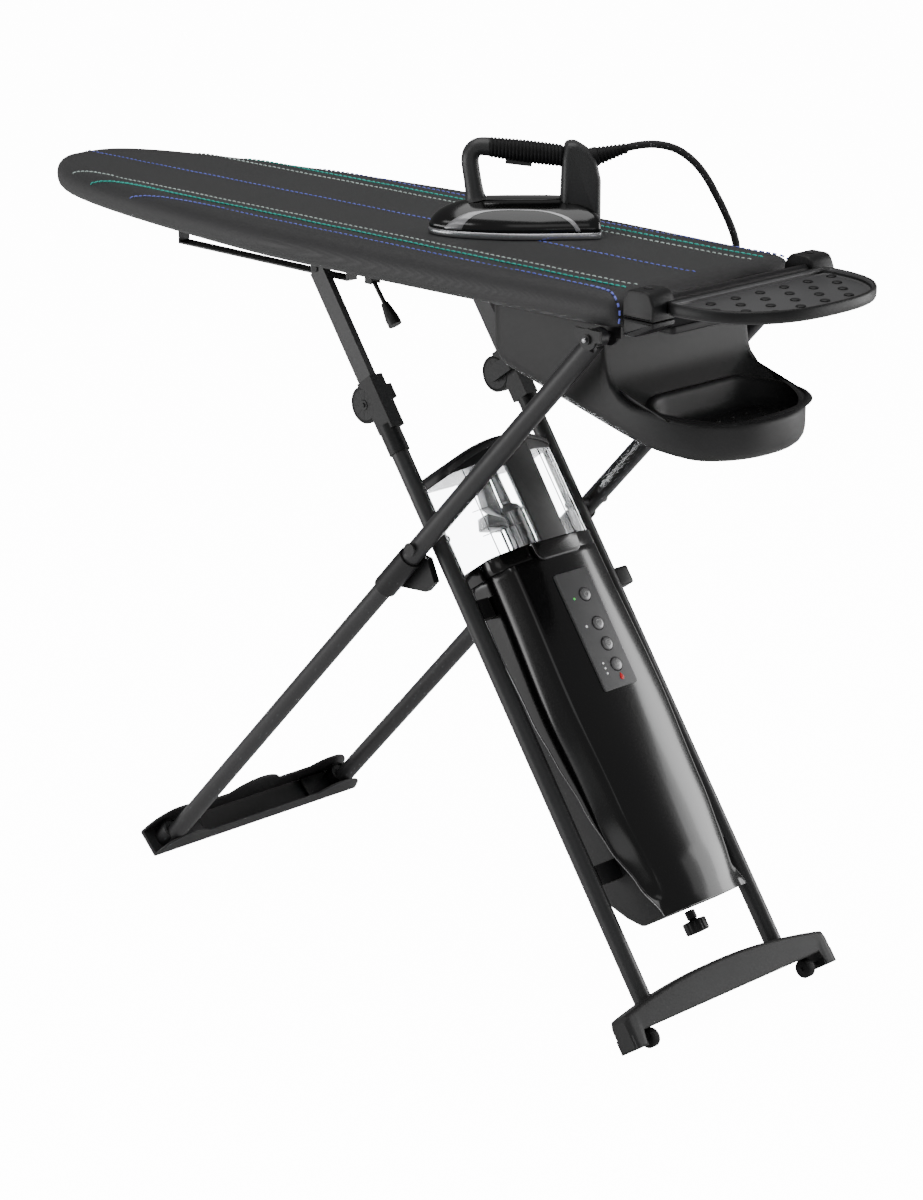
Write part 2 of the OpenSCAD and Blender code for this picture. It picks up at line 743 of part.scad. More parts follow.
module iron_handle() color(charcoal) in_iron() {
    translate([58, 0, 46.5]) rotate([0, -6, 0]) cylinder(d = 22, h = 50);
    translate([53, 0, 94]) rotate([0, 40, 0]) cylinder(d = 22, h = 24);
    translate([68, 0, 111]) rotate([0, 97, 0]) cylinder(d = 22, h = 12);
    intersection() {
        translate([166, -22, 45.2]) cube([52, 44, 74]);
        translate([160, 0, 60]) rotate([90, 0, 0]) cylinder(r = 60, h = 60, center = true);
    }
}

module iron_grip() color(black) in_iron() translate([80, 0, 109.6]) rotate([0, 97, 0]) difference() {
    cylinder(r1 = 12.5, r2 = 14.5, h = 85);
    for (i = [0:13]) translate([0, 0, 4 + 6 * i]) rotate_extrude()
        translate([15.2 + 0.1 * i, 0]) circle(r = 2, $fn = 16);
    translate([6, -5.4, 20]) cube([14, 10.8, 34]);
}

module iron_trigger() color(grey) in_iron() translate([80, 0, 109.6]) rotate([0, 97, 0])
    translate([9.5, -5, 20.4]) cube([8, 10, 33.2]);

module cord_boot() color(black) in_iron() translate([219, 0, 98]) rotate([0, 75, 0])
    cylinder(r1 = 12, r2 = 6.5, h = 30);

stand_tubes();
stand_arms();
wheel_housings();
slide_rod();
stand_foot();
stand_foot_pads();
generator_brackets();
cross_pivots();
generator_front();
generator_rear();
boiler();
steam_valve();
water_pump();
control_board();
control_panel();
indicator_lamps();
tank_dock();
mains_inlet();
transport_wheel_left();
transport_wheel_right();
floor_wheel_left();
floor_wheel_right();
power_button();
mode_button();
pulse_button();
fan_button();
drain_cap();
water_tank();
tank_lid();
tank_handle();
tank_filter();
leg_tubes();
leg_collars();
front_foot();
front_foot_pads();
board_tub();
board_padding();
board_cover();
storage_box();
basin_mat();
blower_housing();
blower_motor();
blower_fan();
slide_rails();
pivot_brackets();
pivot_bolts();
rest_hinge_blocks();
rest_pin();
iron_rest();
height_lever();
steam_gland();
cord_coil();
steam_cord_lower();
steam_cord_upper();
iron_soleplate();
iron_body();
iron_handle();
iron_grip();
iron_trigger();
cord_boot();
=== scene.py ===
from math import cos, exp, hypot, pi, radians, sin, sqrt, tan

import bmesh
import bpy
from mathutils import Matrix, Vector


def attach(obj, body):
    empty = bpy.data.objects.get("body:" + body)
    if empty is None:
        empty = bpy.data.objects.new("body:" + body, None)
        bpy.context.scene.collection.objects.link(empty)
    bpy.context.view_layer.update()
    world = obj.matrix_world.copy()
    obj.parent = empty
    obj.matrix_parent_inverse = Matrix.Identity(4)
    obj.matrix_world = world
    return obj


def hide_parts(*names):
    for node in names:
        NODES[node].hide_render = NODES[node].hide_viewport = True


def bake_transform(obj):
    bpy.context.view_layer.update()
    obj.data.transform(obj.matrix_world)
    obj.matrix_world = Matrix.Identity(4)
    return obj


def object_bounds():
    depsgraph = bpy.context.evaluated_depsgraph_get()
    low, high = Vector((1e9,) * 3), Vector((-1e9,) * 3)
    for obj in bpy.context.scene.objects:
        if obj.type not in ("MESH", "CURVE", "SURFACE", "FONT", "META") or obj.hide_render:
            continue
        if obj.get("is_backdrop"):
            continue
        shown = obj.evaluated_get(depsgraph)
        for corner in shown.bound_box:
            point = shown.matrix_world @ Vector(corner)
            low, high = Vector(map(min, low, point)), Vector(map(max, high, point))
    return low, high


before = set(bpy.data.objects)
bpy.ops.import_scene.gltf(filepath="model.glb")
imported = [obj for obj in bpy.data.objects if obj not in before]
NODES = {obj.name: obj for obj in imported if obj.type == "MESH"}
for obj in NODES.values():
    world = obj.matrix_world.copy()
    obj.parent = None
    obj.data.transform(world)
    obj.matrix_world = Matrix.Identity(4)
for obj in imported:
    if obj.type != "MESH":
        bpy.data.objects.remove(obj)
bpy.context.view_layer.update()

scene = bpy.context.scene


# --- the four places the object is drawn in, in metres ---

STAND_ANGLE, LEG_ANGLE = radians(55), radians(46.6)
SU = Vector((-cos(STAND_ANGLE), 0, sin(STAND_ANGLE)))
SK = Vector((sin(STAND_ANGLE), 0, cos(STAND_ANGLE)))
LV = Vector((cos(LEG_ANGLE), 0, sin(LEG_ANGLE)))
LX = Vector((sin(LEG_ANGLE), 0, -cos(LEG_ANGLE)))
FOOT = Vector((0.5355, 0, 0.0475))
TOP_PIVOT = Vector((0.4795, 0, 0.894))
TIP_X, TIP_Y, BOARD_TOP = 0.0915, -0.068, 0.949
TURN = radians(46.5)


def S(u, y, k):
    """Stand: u up the legs, y across, k forwards, in millimetres."""
    return FOOT + SU * (u / 1000) + SK * (k / 1000) + Vector((0, y / 1000, 0))


def L(v, y, x):
    """Front legs: v up from the upper pivot, y across, x forwards, in millimetres."""
    return TOP_PIVOT + LV * (v / 1000) + LX * (x / 1000) + Vector((0, y / 1000, 0))


def I(s, y, h):
    """Iron: s from tip to heel, y across, h above the board, in millimetres."""
    s, y = s / 1000, y / 1000
    return Vector((TIP_X + s * cos(TURN) - y * sin(TURN),
                   TIP_Y + s * sin(TURN) + y * cos(TURN), BOARD_TOP + h / 1000))


def B(x, y, z):
    """Board and floor: the frame's own axes, in millimetres."""
    return Vector((x / 1000, y / 1000, z / 1000))


def front(y, u, k):
    """Stand again, in the order a plate on the generator's front is drawn."""
    return S(u, y, k)


# The default scene's own objects are not part of the model
for spare in ("Cube", "Light", "Camera"):
    if spare in bpy.data.objects:
        bpy.data.objects.remove(bpy.data.objects[spare])

# --- camera ---

AZ, EL = radians(45.6), radians(17.8)
back = Vector((sin(AZ) * cos(EL), -cos(AZ) * cos(EL), sin(EL)))
cam = bpy.data.objects.new("camera", bpy.data.cameras.new("camera"))
scene.collection.objects.link(cam)
cam.data.lens = 97.97
cam.data.sensor_width = 36
cam.data.sensor_fit = "AUTO"
cam.data.clip_end = 60
cam.location = (3.0545, -2.910, 1.776)
cam.rotation_euler = back.to_track_quat("Z", "Y").to_euler()
scene.camera = cam


# --- materials ---

def node(tree, kind, **sockets):
    """New shader node with its sockets set; underscores stand for spaces."""
    new = tree.nodes.new("ShaderNode" + kind)
    for socket, value in sockets.items():
        new.inputs[socket.replace("_", " ")].default_value = value
    return new


def math_node(tree, operation, *values):
    """Output of a maths node; each value is a number or a socket to link."""
    new = tree.nodes.new("ShaderNodeMath")
    new.operation = operation
    for i, value in enumerate(values):
        if isinstance(value, (int, float)):
            new.inputs[i].default_value = value
        else:
            tree.links.new(value, new.inputs[i])
    return new.outputs[0]


def material(name, color, rough=0.5, metallic=0.0, spec=0.5, coat=0.0, sheen=0.0, bump=0.0,
             scale=400.0, mottle=0.12, rough_var=0.1, pattern="noise", stretch=(1, 1, 1)):
    """Principled material with procedural colour variation, roughness variation and bump."""
    m = bpy.data.materials.new(name)
    m.use_nodes = True
    tree = m.node_tree
    link = tree.links.new
    shader = tree.nodes["Principled BSDF"].inputs
    for socket, value in (("Metallic", metallic), ("Specular IOR Level", spec), ("Coat Weight", coat),
                          ("Coat Roughness", 0.04), ("Sheen Weight", sheen)):
        shader[socket].default_value = value
    place_on = node(tree, "Mapping", Scale=stretch)
    link(node(tree, "TexCoord").outputs["Object"], place_on.inputs["Vector"])
    at = place_on.outputs["Vector"]
    big = node(tree, "TexNoise", Scale=9, Detail=5)
    link(at, big.inputs["Vector"])
    ramp = node(tree, "ValToRGB")
    for stop, position, shade in zip(ramp.color_ramp.elements, (0.35, 0.65), (1 - mottle, 1 + mottle)):
        stop.position = position
        stop.color = (*(min(1, c * shade) for c in color), 1)
    link(big.outputs["Fac"], ramp.inputs["Fac"])
    link(ramp.outputs["Color"], shader["Base Color"])
    rough_range = node(tree, "MapRange", To_Min=max(0.02, rough - rough_var / 2),
                       To_Max=min(1, rough + rough_var / 2))
    link(big.outputs["Fac"], rough_range.inputs["Value"])
    link(rough_range.outputs["Result"], shader["Roughness"])
    if bump:
        if pattern == "weave":
            threads = []
            for direction in "XY":
                wave = node(tree, "TexWave", Scale=scale, Distortion=0.6)
                wave.bands_direction = direction
                link(at, wave.inputs["Vector"])
                threads.append(wave.outputs["Fac"])
            height = math_node(tree, "MULTIPLY", *threads)
        else:
            fine = node(tree, "TexNoise", Scale=scale, Detail=3)
            link(at, fine.inputs["Vector"])
            height = fine.outputs["Fac"]
        relief = node(tree, "Bump", Strength=bump, Distance=0.001)
        link(height, relief.inputs["Height"])
        link(relief.outputs["Normal"], shader["Normal"])
    return m


def cord_material():
    """Black braid with light flecks along it."""
    m = material("cord_braid", (0.012, 0.012, 0.013), rough=0.7, bump=0.5, scale=900)
    tree = m.node_tree
    cells = node(tree, "TexVoronoi", Scale=210)
    tree.links.new(tree.nodes["Texture Coordinate"].outputs["Object"], cells.inputs["Vector"])
    fleck = math_node(tree, "LESS_THAN", cells.outputs["Distance"], 0.16)
    mix = tree.nodes.new("ShaderNodeMix")
    mix.data_type = "RGBA"
    tree.links.new(fleck, mix.inputs[0])
    tree.links.new(tree.nodes["Color Ramp"].outputs["Color"], mix.inputs[6])
    mix.inputs[7].default_value = (0.32, 0.32, 0.33, 1)
    tree.links.new(mix.outputs[2], tree.nodes["Principled BSDF"].inputs["Base Color"])
    return m


M = {
    "cover": material("cover_cloth", (0.026, 0.026, 0.027), rough=0.52, sheen=0.05, bump=0.25,
                      scale=520, pattern="weave", mottle=0.05),
    "white_thread": material("white_thread", (0.62, 0.74, 0.70), rough=0.6, bump=0.3, scale=1500),
    "teal_thread": material("teal_thread", (0.03, 0.52, 0.42), rough=0.55, bump=0.3, scale=1500),
    "blue_thread": material("blue_thread", (0.19, 0.22, 0.78), rough=0.55, bump=0.3, scale=1500),
    "paint": material("frame_paint", (0.026, 0.026, 0.027), rough=0.42, bump=0.06, scale=900),
    "tub": material("tub_paint", (0.022, 0.022, 0.023), rough=0.55, bump=0.1, scale=700),
    "black": material("black_plastic", (0.007, 0.007, 0.0075), rough=0.45, spec=0.4, bump=0.08, scale=800),
    "dark": material("dark_plastic", (0.022, 0.022, 0.0225), spec=0.4, bump=0.1, scale=1100,
                     mottle=0.06),
    "handle": material("handle_plastic", (0.038, 0.038, 0.039), rough=0.4, bump=0.08, scale=1100),
    "gloss": material("gloss_shell", (0.0018, 0.0018, 0.002), rough=0.16, spec=0.7, coat=0.12,
                      rough_var=0.02, bump=0.01, scale=60),
    "panel": material("panel_face", (0.10, 0.10, 0.103), rough=0.42, bump=0.05, scale=1200),
    "steel": material("steel", (0.55, 0.55, 0.57), rough=0.28, metallic=1, bump=0.05, scale=300,
                      stretch=(1, 12, 1)),
    "sole": material("soleplate", (0.62, 0.62, 0.64), rough=0.24, metallic=1, bump=0.03, scale=500),
    "inlay": material("silver_inlay", (0.42, 0.42, 0.43), rough=0.3, metallic=0.6, bump=0.03, scale=500),
    "rubber": material("rubber", (0.006, 0.006, 0.0065), rough=0.62, spec=0.3, bump=0.2, scale=900),
    "brass": material("brass", (0.55, 0.38, 0.13), rough=0.3, metallic=1, bump=0.04, scale=300),
    "board": material("circuit_board", (0.015, 0.09, 0.035), rough=0.4, bump=0.1, scale=600),
    "white": material("white_plastic", (0.6, 0.6, 0.6), rough=0.35, bump=0.03, scale=500),
    "button": material("button_cap", (0.28, 0.28, 0.285), rough=0.3, metallic=0.5, bump=0.03, scale=700),
    "icon": material("icon_print", (0.6, 0.6, 0.6), rough=0.45, bump=0.02, scale=700),
    "plate": material("rest_plate", (0.075, 0.075, 0.077), rough=0.36, bump=0.12, scale=1200),
    "cord": cord_material(),
}


def lamp(name, color, strength):
    """Lens of an indicator that glows."""
    m = material(name, color, rough=0.3)
    p = m.node_tree.nodes["Principled BSDF"]
    p.inputs["Emission Color"].default_value = (*color, 1)
    p.inputs["Emission Strength"].default_value = strength
    return m


M["green_lamp"] = lamp("green_lamp", (0.08, 0.65, 0.12), 0.7)
M["white_lamp"] = lamp("white_lamp", (0.85, 0.87, 0.85), 0.9)
M["red_lamp"] = lamp("red_lamp", (0.55, 0.01, 0.012), 0.35)


def clear_material():
    """Clear moulded plastic of the tank."""
    m = material("clear_plastic", (0.95, 0.96, 0.97), rough=0.03, spec=0.5, rough_var=0.02, mottle=0.01)
    p = m.node_tree.nodes["Principled BSDF"]
    p.inputs["Transmission Weight"].default_value = 1.0
    p.inputs["IOR"].default_value = 1.12
    return m


M["clear"] = clear_material()


# --- mesh helpers ---

def new_object(name, me, mat):
    """Object around a mesh, with one material."""
    me.materials.append(M[mat])
    ob = bpy.data.objects.new(name, me)
    scene.collection.objects.link(ob)
    return ob


def add(name, mesh, mat, body, hide=(), angle=38):
    """Piece from a pair of vertices and faces."""
    me = bpy.data.meshes.new(name)
    verts, faces = mesh
    me.from_pydata([tuple(v) for v in verts], [], faces)
    bm = bmesh.new()
    bm.from_mesh(me)
    bmesh.ops.remove_doubles(bm, verts=bm.verts, dist=1e-6)
    bmesh.ops.recalc_face_normals(bm, faces=bm.faces)
    bm.to_mesh(me)
    bm.free()
    ob = new_object(name, me, mat)
    place(ob, body, hide, angle)
    return ob


def place(ob, body, hide=(), angle=38):
    """Smooth shading up to an angle, the body it rides on and what it replaces."""
    for f in ob.data.polygons:
        f.use_smooth = True
    if angle:
        ob.data.set_sharp_from_angle(angle=radians(angle))
    if body:
        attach(ob, body)
    if hide:
        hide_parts(*hide)


def loft(rings, caps=(True, True)):
    """Verts and faces through rings of equal length."""
    n = len(rings[0])
    verts = [v for r in rings for v in r]
    faces = []
    m = len(rings)
    for i in range(m - 1):
        for j in range(n):
            a, b = i * n, (i + 1) * n
            faces.append((a + j, a + (j + 1) % n, b + (j + 1) % n, b + j))
    if caps[0]:
        faces.append(tuple(range(n - 1, -1, -1)))
    if caps[1]:
        faces.append(tuple((m - 1) * n + j for j in range(n)))
    return verts, faces


def join(parts):
    """One pair of vertices and faces from several."""
    verts, faces = [], []
    for v, f in parts:
        k = len(verts)
        verts += list(v)
        faces += [tuple(i + k for i in t) for t in f]
    return verts, faces


def round_poly(pts, radius, seg=5):
    """Closed 2-D outline with its corners rounded; radius is one number or one per corner."""
    out = []
    n = len(pts)
    for i, p in enumerate(pts):
        r = radius[i] if isinstance(radius, (list, tuple)) else radius
        p = Vector(p)
        a, b = Vector(pts[i - 1]) - p, Vector(pts[(i + 1) % n]) - p
        if r <= 0:
            out.append(tuple(p))
            continue
        la, lb = a.length, b.length
        a, b = a / la, b / lb
        half = a.angle(b) / 2
        d = min(r / tan(half), la * 0.49, lb * 0.49)
        p1, p2 = p + a * d, p + b * d
        for j in range(seg + 1):
            t = j / seg
            q = p1 * (1 - t) ** 2 + p * (2 * t * (1 - t)) + p2 * t * t
            out.append((q.x, q.y))
    return out


def rect(a0, b0, a1, b1, radius):
    return round_poly([(a0, b0), (a1, b0), (a1, b1), (a0, b1)], radius)


def inset(pts, d):
    """Moves a closed outline's points inwards by d (outline counter-clockwise)."""
    n = len(pts)
    area = sum(pts[i - 1][0] * pts[i][1] - pts[i][0] * pts[i - 1][1] for i in range(n))
    side = 1 if area > 0 else -1
    out = []
    for i in range(n):
        a, b = Vector(pts[i - 1]), Vector(pts[(i + 1) % n])
        t = (b - a).normalized()
        out.append((pts[i][0] - t.y * d * side, pts[i][1] + t.x * d * side))
    return out


def slab(outline, lo, hi, bevel, to, seg=3, top_bevel=None):
    """Prism over an outline with rounded edges; to(a, b, h) places a point."""
    def edge(end, r):
        return [[to(a, b, end + r * (1 - sin(t))) for a, b in inset(outline, abs(r) * (1 - cos(t)))]
                for t in [radians(90 * i / seg) for i in range(seg + 1)]]
    top = bevel if top_bevel is None else top_bevel
    return loft(edge(lo, bevel)[::-1] + edge(hi, -top))


def lathe(profile, to, n=48):
    """Profile of (radius, height) turned about the height axis; to(x, y, h) places a point."""
    rings = [[to(r * cos(2 * pi * j / n), r * sin(2 * pi * j / n), h)
              for j in range(n)] for r, h in profile]
    return loft(rings)


def spline(pts, per=8):
    """Catmull-Rom curve through points of any dimension."""
    pts = [Vector(p) for p in pts]
    out = []
    for i in range(len(pts) - 1):
        p0, p1 = pts[max(i - 1, 0)], pts[i]
        p2, p3 = pts[i + 1], pts[min(i + 2, len(pts) - 1)]
        for j in range(per):
            t = j / per
            out.append(0.5 * ((2 * p1) + (p2 - p0) * t + (2 * p0 - 5 * p1 + 4 * p2 - p3) * t * t
                              + (3 * p1 - p0 - 3 * p2 + p3) * t ** 3))
    out.append(pts[-1])
    return out


def tube(path, radius, n=20):
    """Tube along a 3-D path; radius is one number or one per point."""
    rings = []
    ref = None
    for i, p in enumerate(path):
        t = (path[min(i + 1, len(path) - 1)] - path[max(i - 1, 0)]).normalized()
        if ref is None:
            ref = t.cross(Vector((0, 0, 1)))
            if ref.length < 0.1:
                ref = t.cross(Vector((1, 0, 0)))
        ref = (ref - t * ref.dot(t)).normalized()
        other = t.cross(ref)
        r = radius[i] if isinstance(radius, list) else radius
        rings.append([p + ref * r * cos(2 * pi * j / n)
                      + other * r * sin(2 * pi * j / n) for j in range(n)])
    return loft(rings)


def lerp(table, x, smooth=False):
    """Look-up in a list of (x, value), straight or eased between its entries."""
    for (a, va), (b, vb) in zip(table, table[1:]):
        if x <= b:
            t = max(0, min(1, (x - a) / (b - a)))
            if smooth:
                t = t * t * (3 - 2 * t)
            return va + (vb - va) * t
    return table[-1][1]


# --- steam cord ---

UPPER = [(276, 127, 1061), (287, 139, 1062), (298, 151, 1060), (308, 162, 1055), (317, 171, 1047),
         (325, 179, 1037), (332, 186, 1025), (338, 192, 1012), (343, 197, 999), (348, 202, 986),
         (352, 207, 973), (356, 212, 959)]
LOWER = [(359, 216, 946), (362, 218, 932), (364, 215, 918), (366, 207, 905), (368, 194, 895),
         (370, 178, 889), (372, 160, 887), (374, 140, 886), (375, 120, 886), (376, 100, 886), (376, 80, 886)]


COIL_TURNS, TURN_STEPS, COIL_PITCH = 5, 24, 10.6


def cord_path():
    """Boot, visible arch and gland, then turns that go down outside and come up inside."""
    pts = [B(265, 115, 1058)] + [B(*p) for p in UPPER + LOWER]
    for i in range(1, COIL_TURNS * TURN_STEPS + 1):
        turn = i / TURN_STEPS
        r = 52 if turn < 3 else 52 - 11.5 * min(1, (turn - 3) * 2)
        z = 886 - COIL_PITCH * min(turn, 3) + COIL_PITCH * max(0, turn - 3)
        a = -2 * pi * turn
        pts.append(B(324 + r * cos(a), 66 + r * sin(a), z))
    return spline(pts, 4)


path = cord_path()
cord = add("steam_cord", tube(path, 0.005, n=14), "cord", None, angle=0)
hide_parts("steam_cord_upper", "steam_cord_lower", "cord_coil")
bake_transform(cord)


# --- padded cover of the board ---

NOSE, END, WIDEST, HALF = -707.5, 507.5, -100.0, 185.0


def half_at(x):
    """Half the board's width: a blunt nose and a slight taper to the square end."""
    t = max(0.0, 1 - max(0.0, (WIDEST - x) / 607.5) ** 1.15) ** (1 / 2.9)
    return (HALF - 26.7 * (max(0, x - WIDEST) / 695) ** 2) * t


def board_outline():
    near = []
    for i in range(1, 46):
        x = NOSE + (WIDEST - NOSE) * (1 - cos(pi / 2 * i / 45))
        near.append((x, -half_at(x)))
    for i in range(1, 27):
        x = WIDEST + (END - 22 - WIDEST) * i / 26
        near.append((x, -half_at(x)))
    r = 20
    w = half_at(END)
    for i in range(1, 9):
        t = pi / 2 * i / 8
        near.append((END - r + r * sin(t), -(w - r + r * cos(t))))
    for i in range(1, 8):
        near.append((END, -(w - r) * (1 - i / 8)))
    far = [(x, -y) for x, y in reversed(near)]
    return [(NOSE, 0)] + near + [(END, 0)] + far


OUT = board_outline()
ROLL = [(28, 907.8), (28, 906.2), (20, 905.8), (12, 906.3), (6.5, 908.4), (2.6, 913), (0.5, 919.5), (0, 926.5),
        (0.8, 933), (3.2, 938.8), (7.2, 943.4), (12.5, 946.7), (19, 948.4), (28, 949)]
SEAMS = [0, -103, 103, -124.5, 124.5, -128, 128, -147, 147]
GROOVES = (0, -103, 103, -126, 126, -147, 147)


def groove(y):
    return sum(exp(-((y - s) / 2.2) ** 2) for s in GROOVES)


def pad_height(x, y):
    """Height of the cover's top: seams drawn in, soft swell between them."""
    soft = 0.12 * sin(x / 37 + 1.3 * sin(y / 41)) + 0.10 * sin(x / 17 + y / 23)
    return 948.75 - 0.9 * min(1, groove(y)) + soft


def inside(poly, x, y):
    hit = False
    for (x0, y0), (x1, y1) in zip(poly, poly[1:] + poly[:1]):
        if (y0 > y) != (y1 > y) and x < (x1 - x0) * (y - y0) / (y1 - y0) + x0:
            hit = not hit
    return hit


def edge_distance(poly, x, y):
    best = 1e9
    for (x0, y0), (x1, y1) in zip(poly, poly[1:] + poly[:1]):
        dx, dy = x1 - x0, y1 - y0
        t = max(0, min(1, ((x - x0) * dx + (y - y0) * dy) / (dx * dx + dy * dy + 1e-9)))
        best = min(best, hypot(x - x0 - t * dx, y - y0 - t * dy))
    return best


def skin(bm, rows):
    """Quads between rows of bmesh vertices."""
    n = len(rows[0])
    for a, b in zip(rows, rows[1:]):
        for j in range(n):
            bm.faces.new((a[j], a[(j + 1) % n], b[(j + 1) % n], b[j]))


def from_bmesh(name, bm, mat):
    bmesh.ops.recalc_face_normals(bm, faces=bm.faces)
    me = bpy.data.meshes.new(name)
    bm.to_mesh(me)
    bm.free()
    return new_object(name, me, mat)


def make_cover():
    """Rolled edge, turned-in underside and a grid top with rows along every seam."""
    bm = bmesh.new()
    rows = [[bm.verts.new(B(px, py, z)) for px, py in inset(OUT, d)] for d, z in ROLL]
    down = [rows[0]] + [[bm.verts.new(B(px, py, z)) for px, py in inset(OUT, d)]
                        for d, z in ((7.6, 907.9), (7.6, 930.4))]
    skin(bm, rows)
    skin(bm, down)
    bm.faces.new(down[-1])
    top = inset(OUT, 28)
    ys = sorted({i * 8.0 for i in range(-21, 22) if all(abs(i * 8.0 - s) > 5 for s in SEAMS)}
                | {round(s + d, 2) for s in GROOVES for d in (-4.2, -2.4, -1.1, 0, 1.1, 2.4, 4.2)})
    xs = [NOSE + 30 + 9.5 * i for i in range(int((END - NOSE - 40) / 9.5))]
    grid = {}
    for i, x in enumerate(xs):
        for j, y in enumerate(ys):
            if inside(top, x, y) and edge_distance(top, x, y) > 3.5:
                grid[i, j] = bm.verts.new(B(x, y, pad_height(x, y)))
    for (i, j), a in list(grid.items()):
        q = [grid.get((i + 1, j)), grid.get((i + 1, j + 1)), grid.get((i, j + 1))]
        if all(q):
            bm.faces.new((a, *q))
    for g in [g for g in grid.values() if not g.link_faces]:
        bm.verts.remove(g)
    rim = [e for e in bm.edges if len(e.link_faces) == 1]
    bmesh.ops.triangle_fill(bm, edges=rim, use_beauty=True, use_dissolve=False)
    ob = from_bmesh("cover", bm, "cover")
    place(ob, "board", ("board_cover", "board_padding"), angle=60)


make_cover()
ROLL_TOP = ROLL[7:-1] + [(28, 948.9)]


PITCH = 9.6


def stitch_line(y, pitch, dash, x_end, wide):
    """Dashes of thread along one seam, following the cover over its rolled edge."""
    parts = []
    x = NOSE + 6
    while x < x_end:
        a, b = x, x + dash
        x += pitch
        ends = []
        for px in (a, (a + b) / 2, b):
            if not inside(OUT, px, y):
                break
            d = edge_distance(OUT, px, y)
            if d < 1.6:
                break
            z = lerp(ROLL_TOP, d) if d < 28 else pad_height(px, y)
            ends.append((px, z))
        if len(ends) < 3:
            continue
        rings = []
        for k, (px, z) in enumerate(((ends[0][0], ends[0][1] - 0.1), (ends[0][0] + 0.9, ends[0][1] + 0.55),
                                     (ends[1][0], ends[1][1] + 0.85), (ends[2][0] - 0.9, ends[2][1] + 0.55),
                                     (ends[2][0], ends[2][1] - 0.1))):
            w = wide * (0.35 if k in (0, 4) else 1)
            rings.append([B(px, y + w * cos(t), z + 0.55 * w * sin(t))
                          for t in [pi / 3 * q for q in range(6)]])
        parts.append(loft(rings))
    return parts


def corner_stitches(side):
    """The outermost seam turns down over the square end of the pad."""
    parts = []
    pts = spline([(452, 147, 949), (468, 148, 948.9), (482, 150, 948.7), (492, 153, 947.4), (499.5, 156, 944),
                  (504, 157, 939), (507.2, 157, 932), (508.2, 157, 925), (507.8, 157, 918), (506, 156.5, 912)], 10)
    run = [0.0]
    for a, b in zip(pts, pts[1:]):
        run.append(run[-1] + (b - a).length)
    s = 0
    while s + 6 < run[-1]:
        k0 = min(range(len(run)), key=lambda i: abs(run[i] - s))
        k1 = min(range(len(run)), key=lambda i: abs(run[i] - s - 6))
        seg = [Vector((p.x, side * p.y, p.z)) / 1000 for p in pts[k0:k1 + 1:2]]
        if len(seg) > 1:
            parts.append(tube(seg, 0.0013, n=6))
        s += PITCH
    return parts


for name, lines in {
    "white": [stitch_line(y, PITCH, 6.4, 488, 1.35) for y in (-103, 103)],
    "teal": [stitch_line(y, PITCH, 7.2, 484, 1.9) for y in (-124, 124)],
    "blue": [stitch_line(y, PITCH, 6.6, 452, 1.25) for y in (-147, 147)]
            + [stitch_line(0, PITCH, 6.6, 488, 1.25), corner_stitches(1), corner_stitches(-1)],
}.items():
    add("stitches_" + name, join([p for line in lines for p in line]), name + "_thread", "board",
        angle=0)


# --- iron ---

def sole_half(s):
    return 52 * max(0, 1 - max(0, 1 - s / 140) ** 2.2) ** 0.62 * (1 - 0.1 * max(0, s - 140) / 80)


def sole_outline(n=30):
    near = []
    for i in range(1, n + 1):
        s = 214 * (1 - cos(pi / 2 * i / n))
        near.append((s, -sole_half(s)))
    w = near[-1][1]
    near += [(217.5, w * 0.95), (219.5, w * 0.8), (220, w * 0.4)]
    return [(0, 0)] + near + [(220, 0)] + [(s, -y) for s, y in reversed(near)]


SOLE = sole_outline()
add("iron_sole", slab(SOLE, 0.4, 9.6, 1.6, I, top_bevel=3.2), "sole", "iron", ("iron_soleplate",))

DOME = [(9.4, 1.5, 219, 51.2), (13, 1.2, 219.4, 51.8), (19, 3.5, 218.6, 50.6), (25, 8, 216.5, 47.5),
        (31, 15, 212, 42.5), (36, 24, 204, 36), (39.5, 33, 195, 29.5), (42, 41, 187, 24.5), (43.6, 48, 181, 20.5),
        (44.6, 55, 175, 17)]


def dome_at(h):
    """Front end, rear end and half width of the shell at height h."""
    for (h0, *p), (h1, *q) in zip(DOME, DOME[1:]):
        if h <= h1:
            t = max(0, (h - h0) / (h1 - h0))
            return [x + (y - x) * t for x, y in zip(p, q)]
    return DOME[-1][1:]


def dome_ring(h):
    a, b, w = dome_at(h)
    return [I(a + (b - a) * s / 220, y * w / 52, h) for s, y in SOLE]


heights = [9.4, 11, 13, 16, 19, 22, 25, 28, 31, 33.5, 36, 38, 39.5, 41, 42, 43, 43.6, 44.2, 44.6]
add("iron_shell", loft([dome_ring(h) for h in heights]), "gloss", "iron", ("iron_body",), angle=60)


def dome_y(s, h):
    a, b, w = dome_at(h)
    x = min(220, max(0, (s - a) / (b - a) * 220))
    return sole_half(x) * w / 52


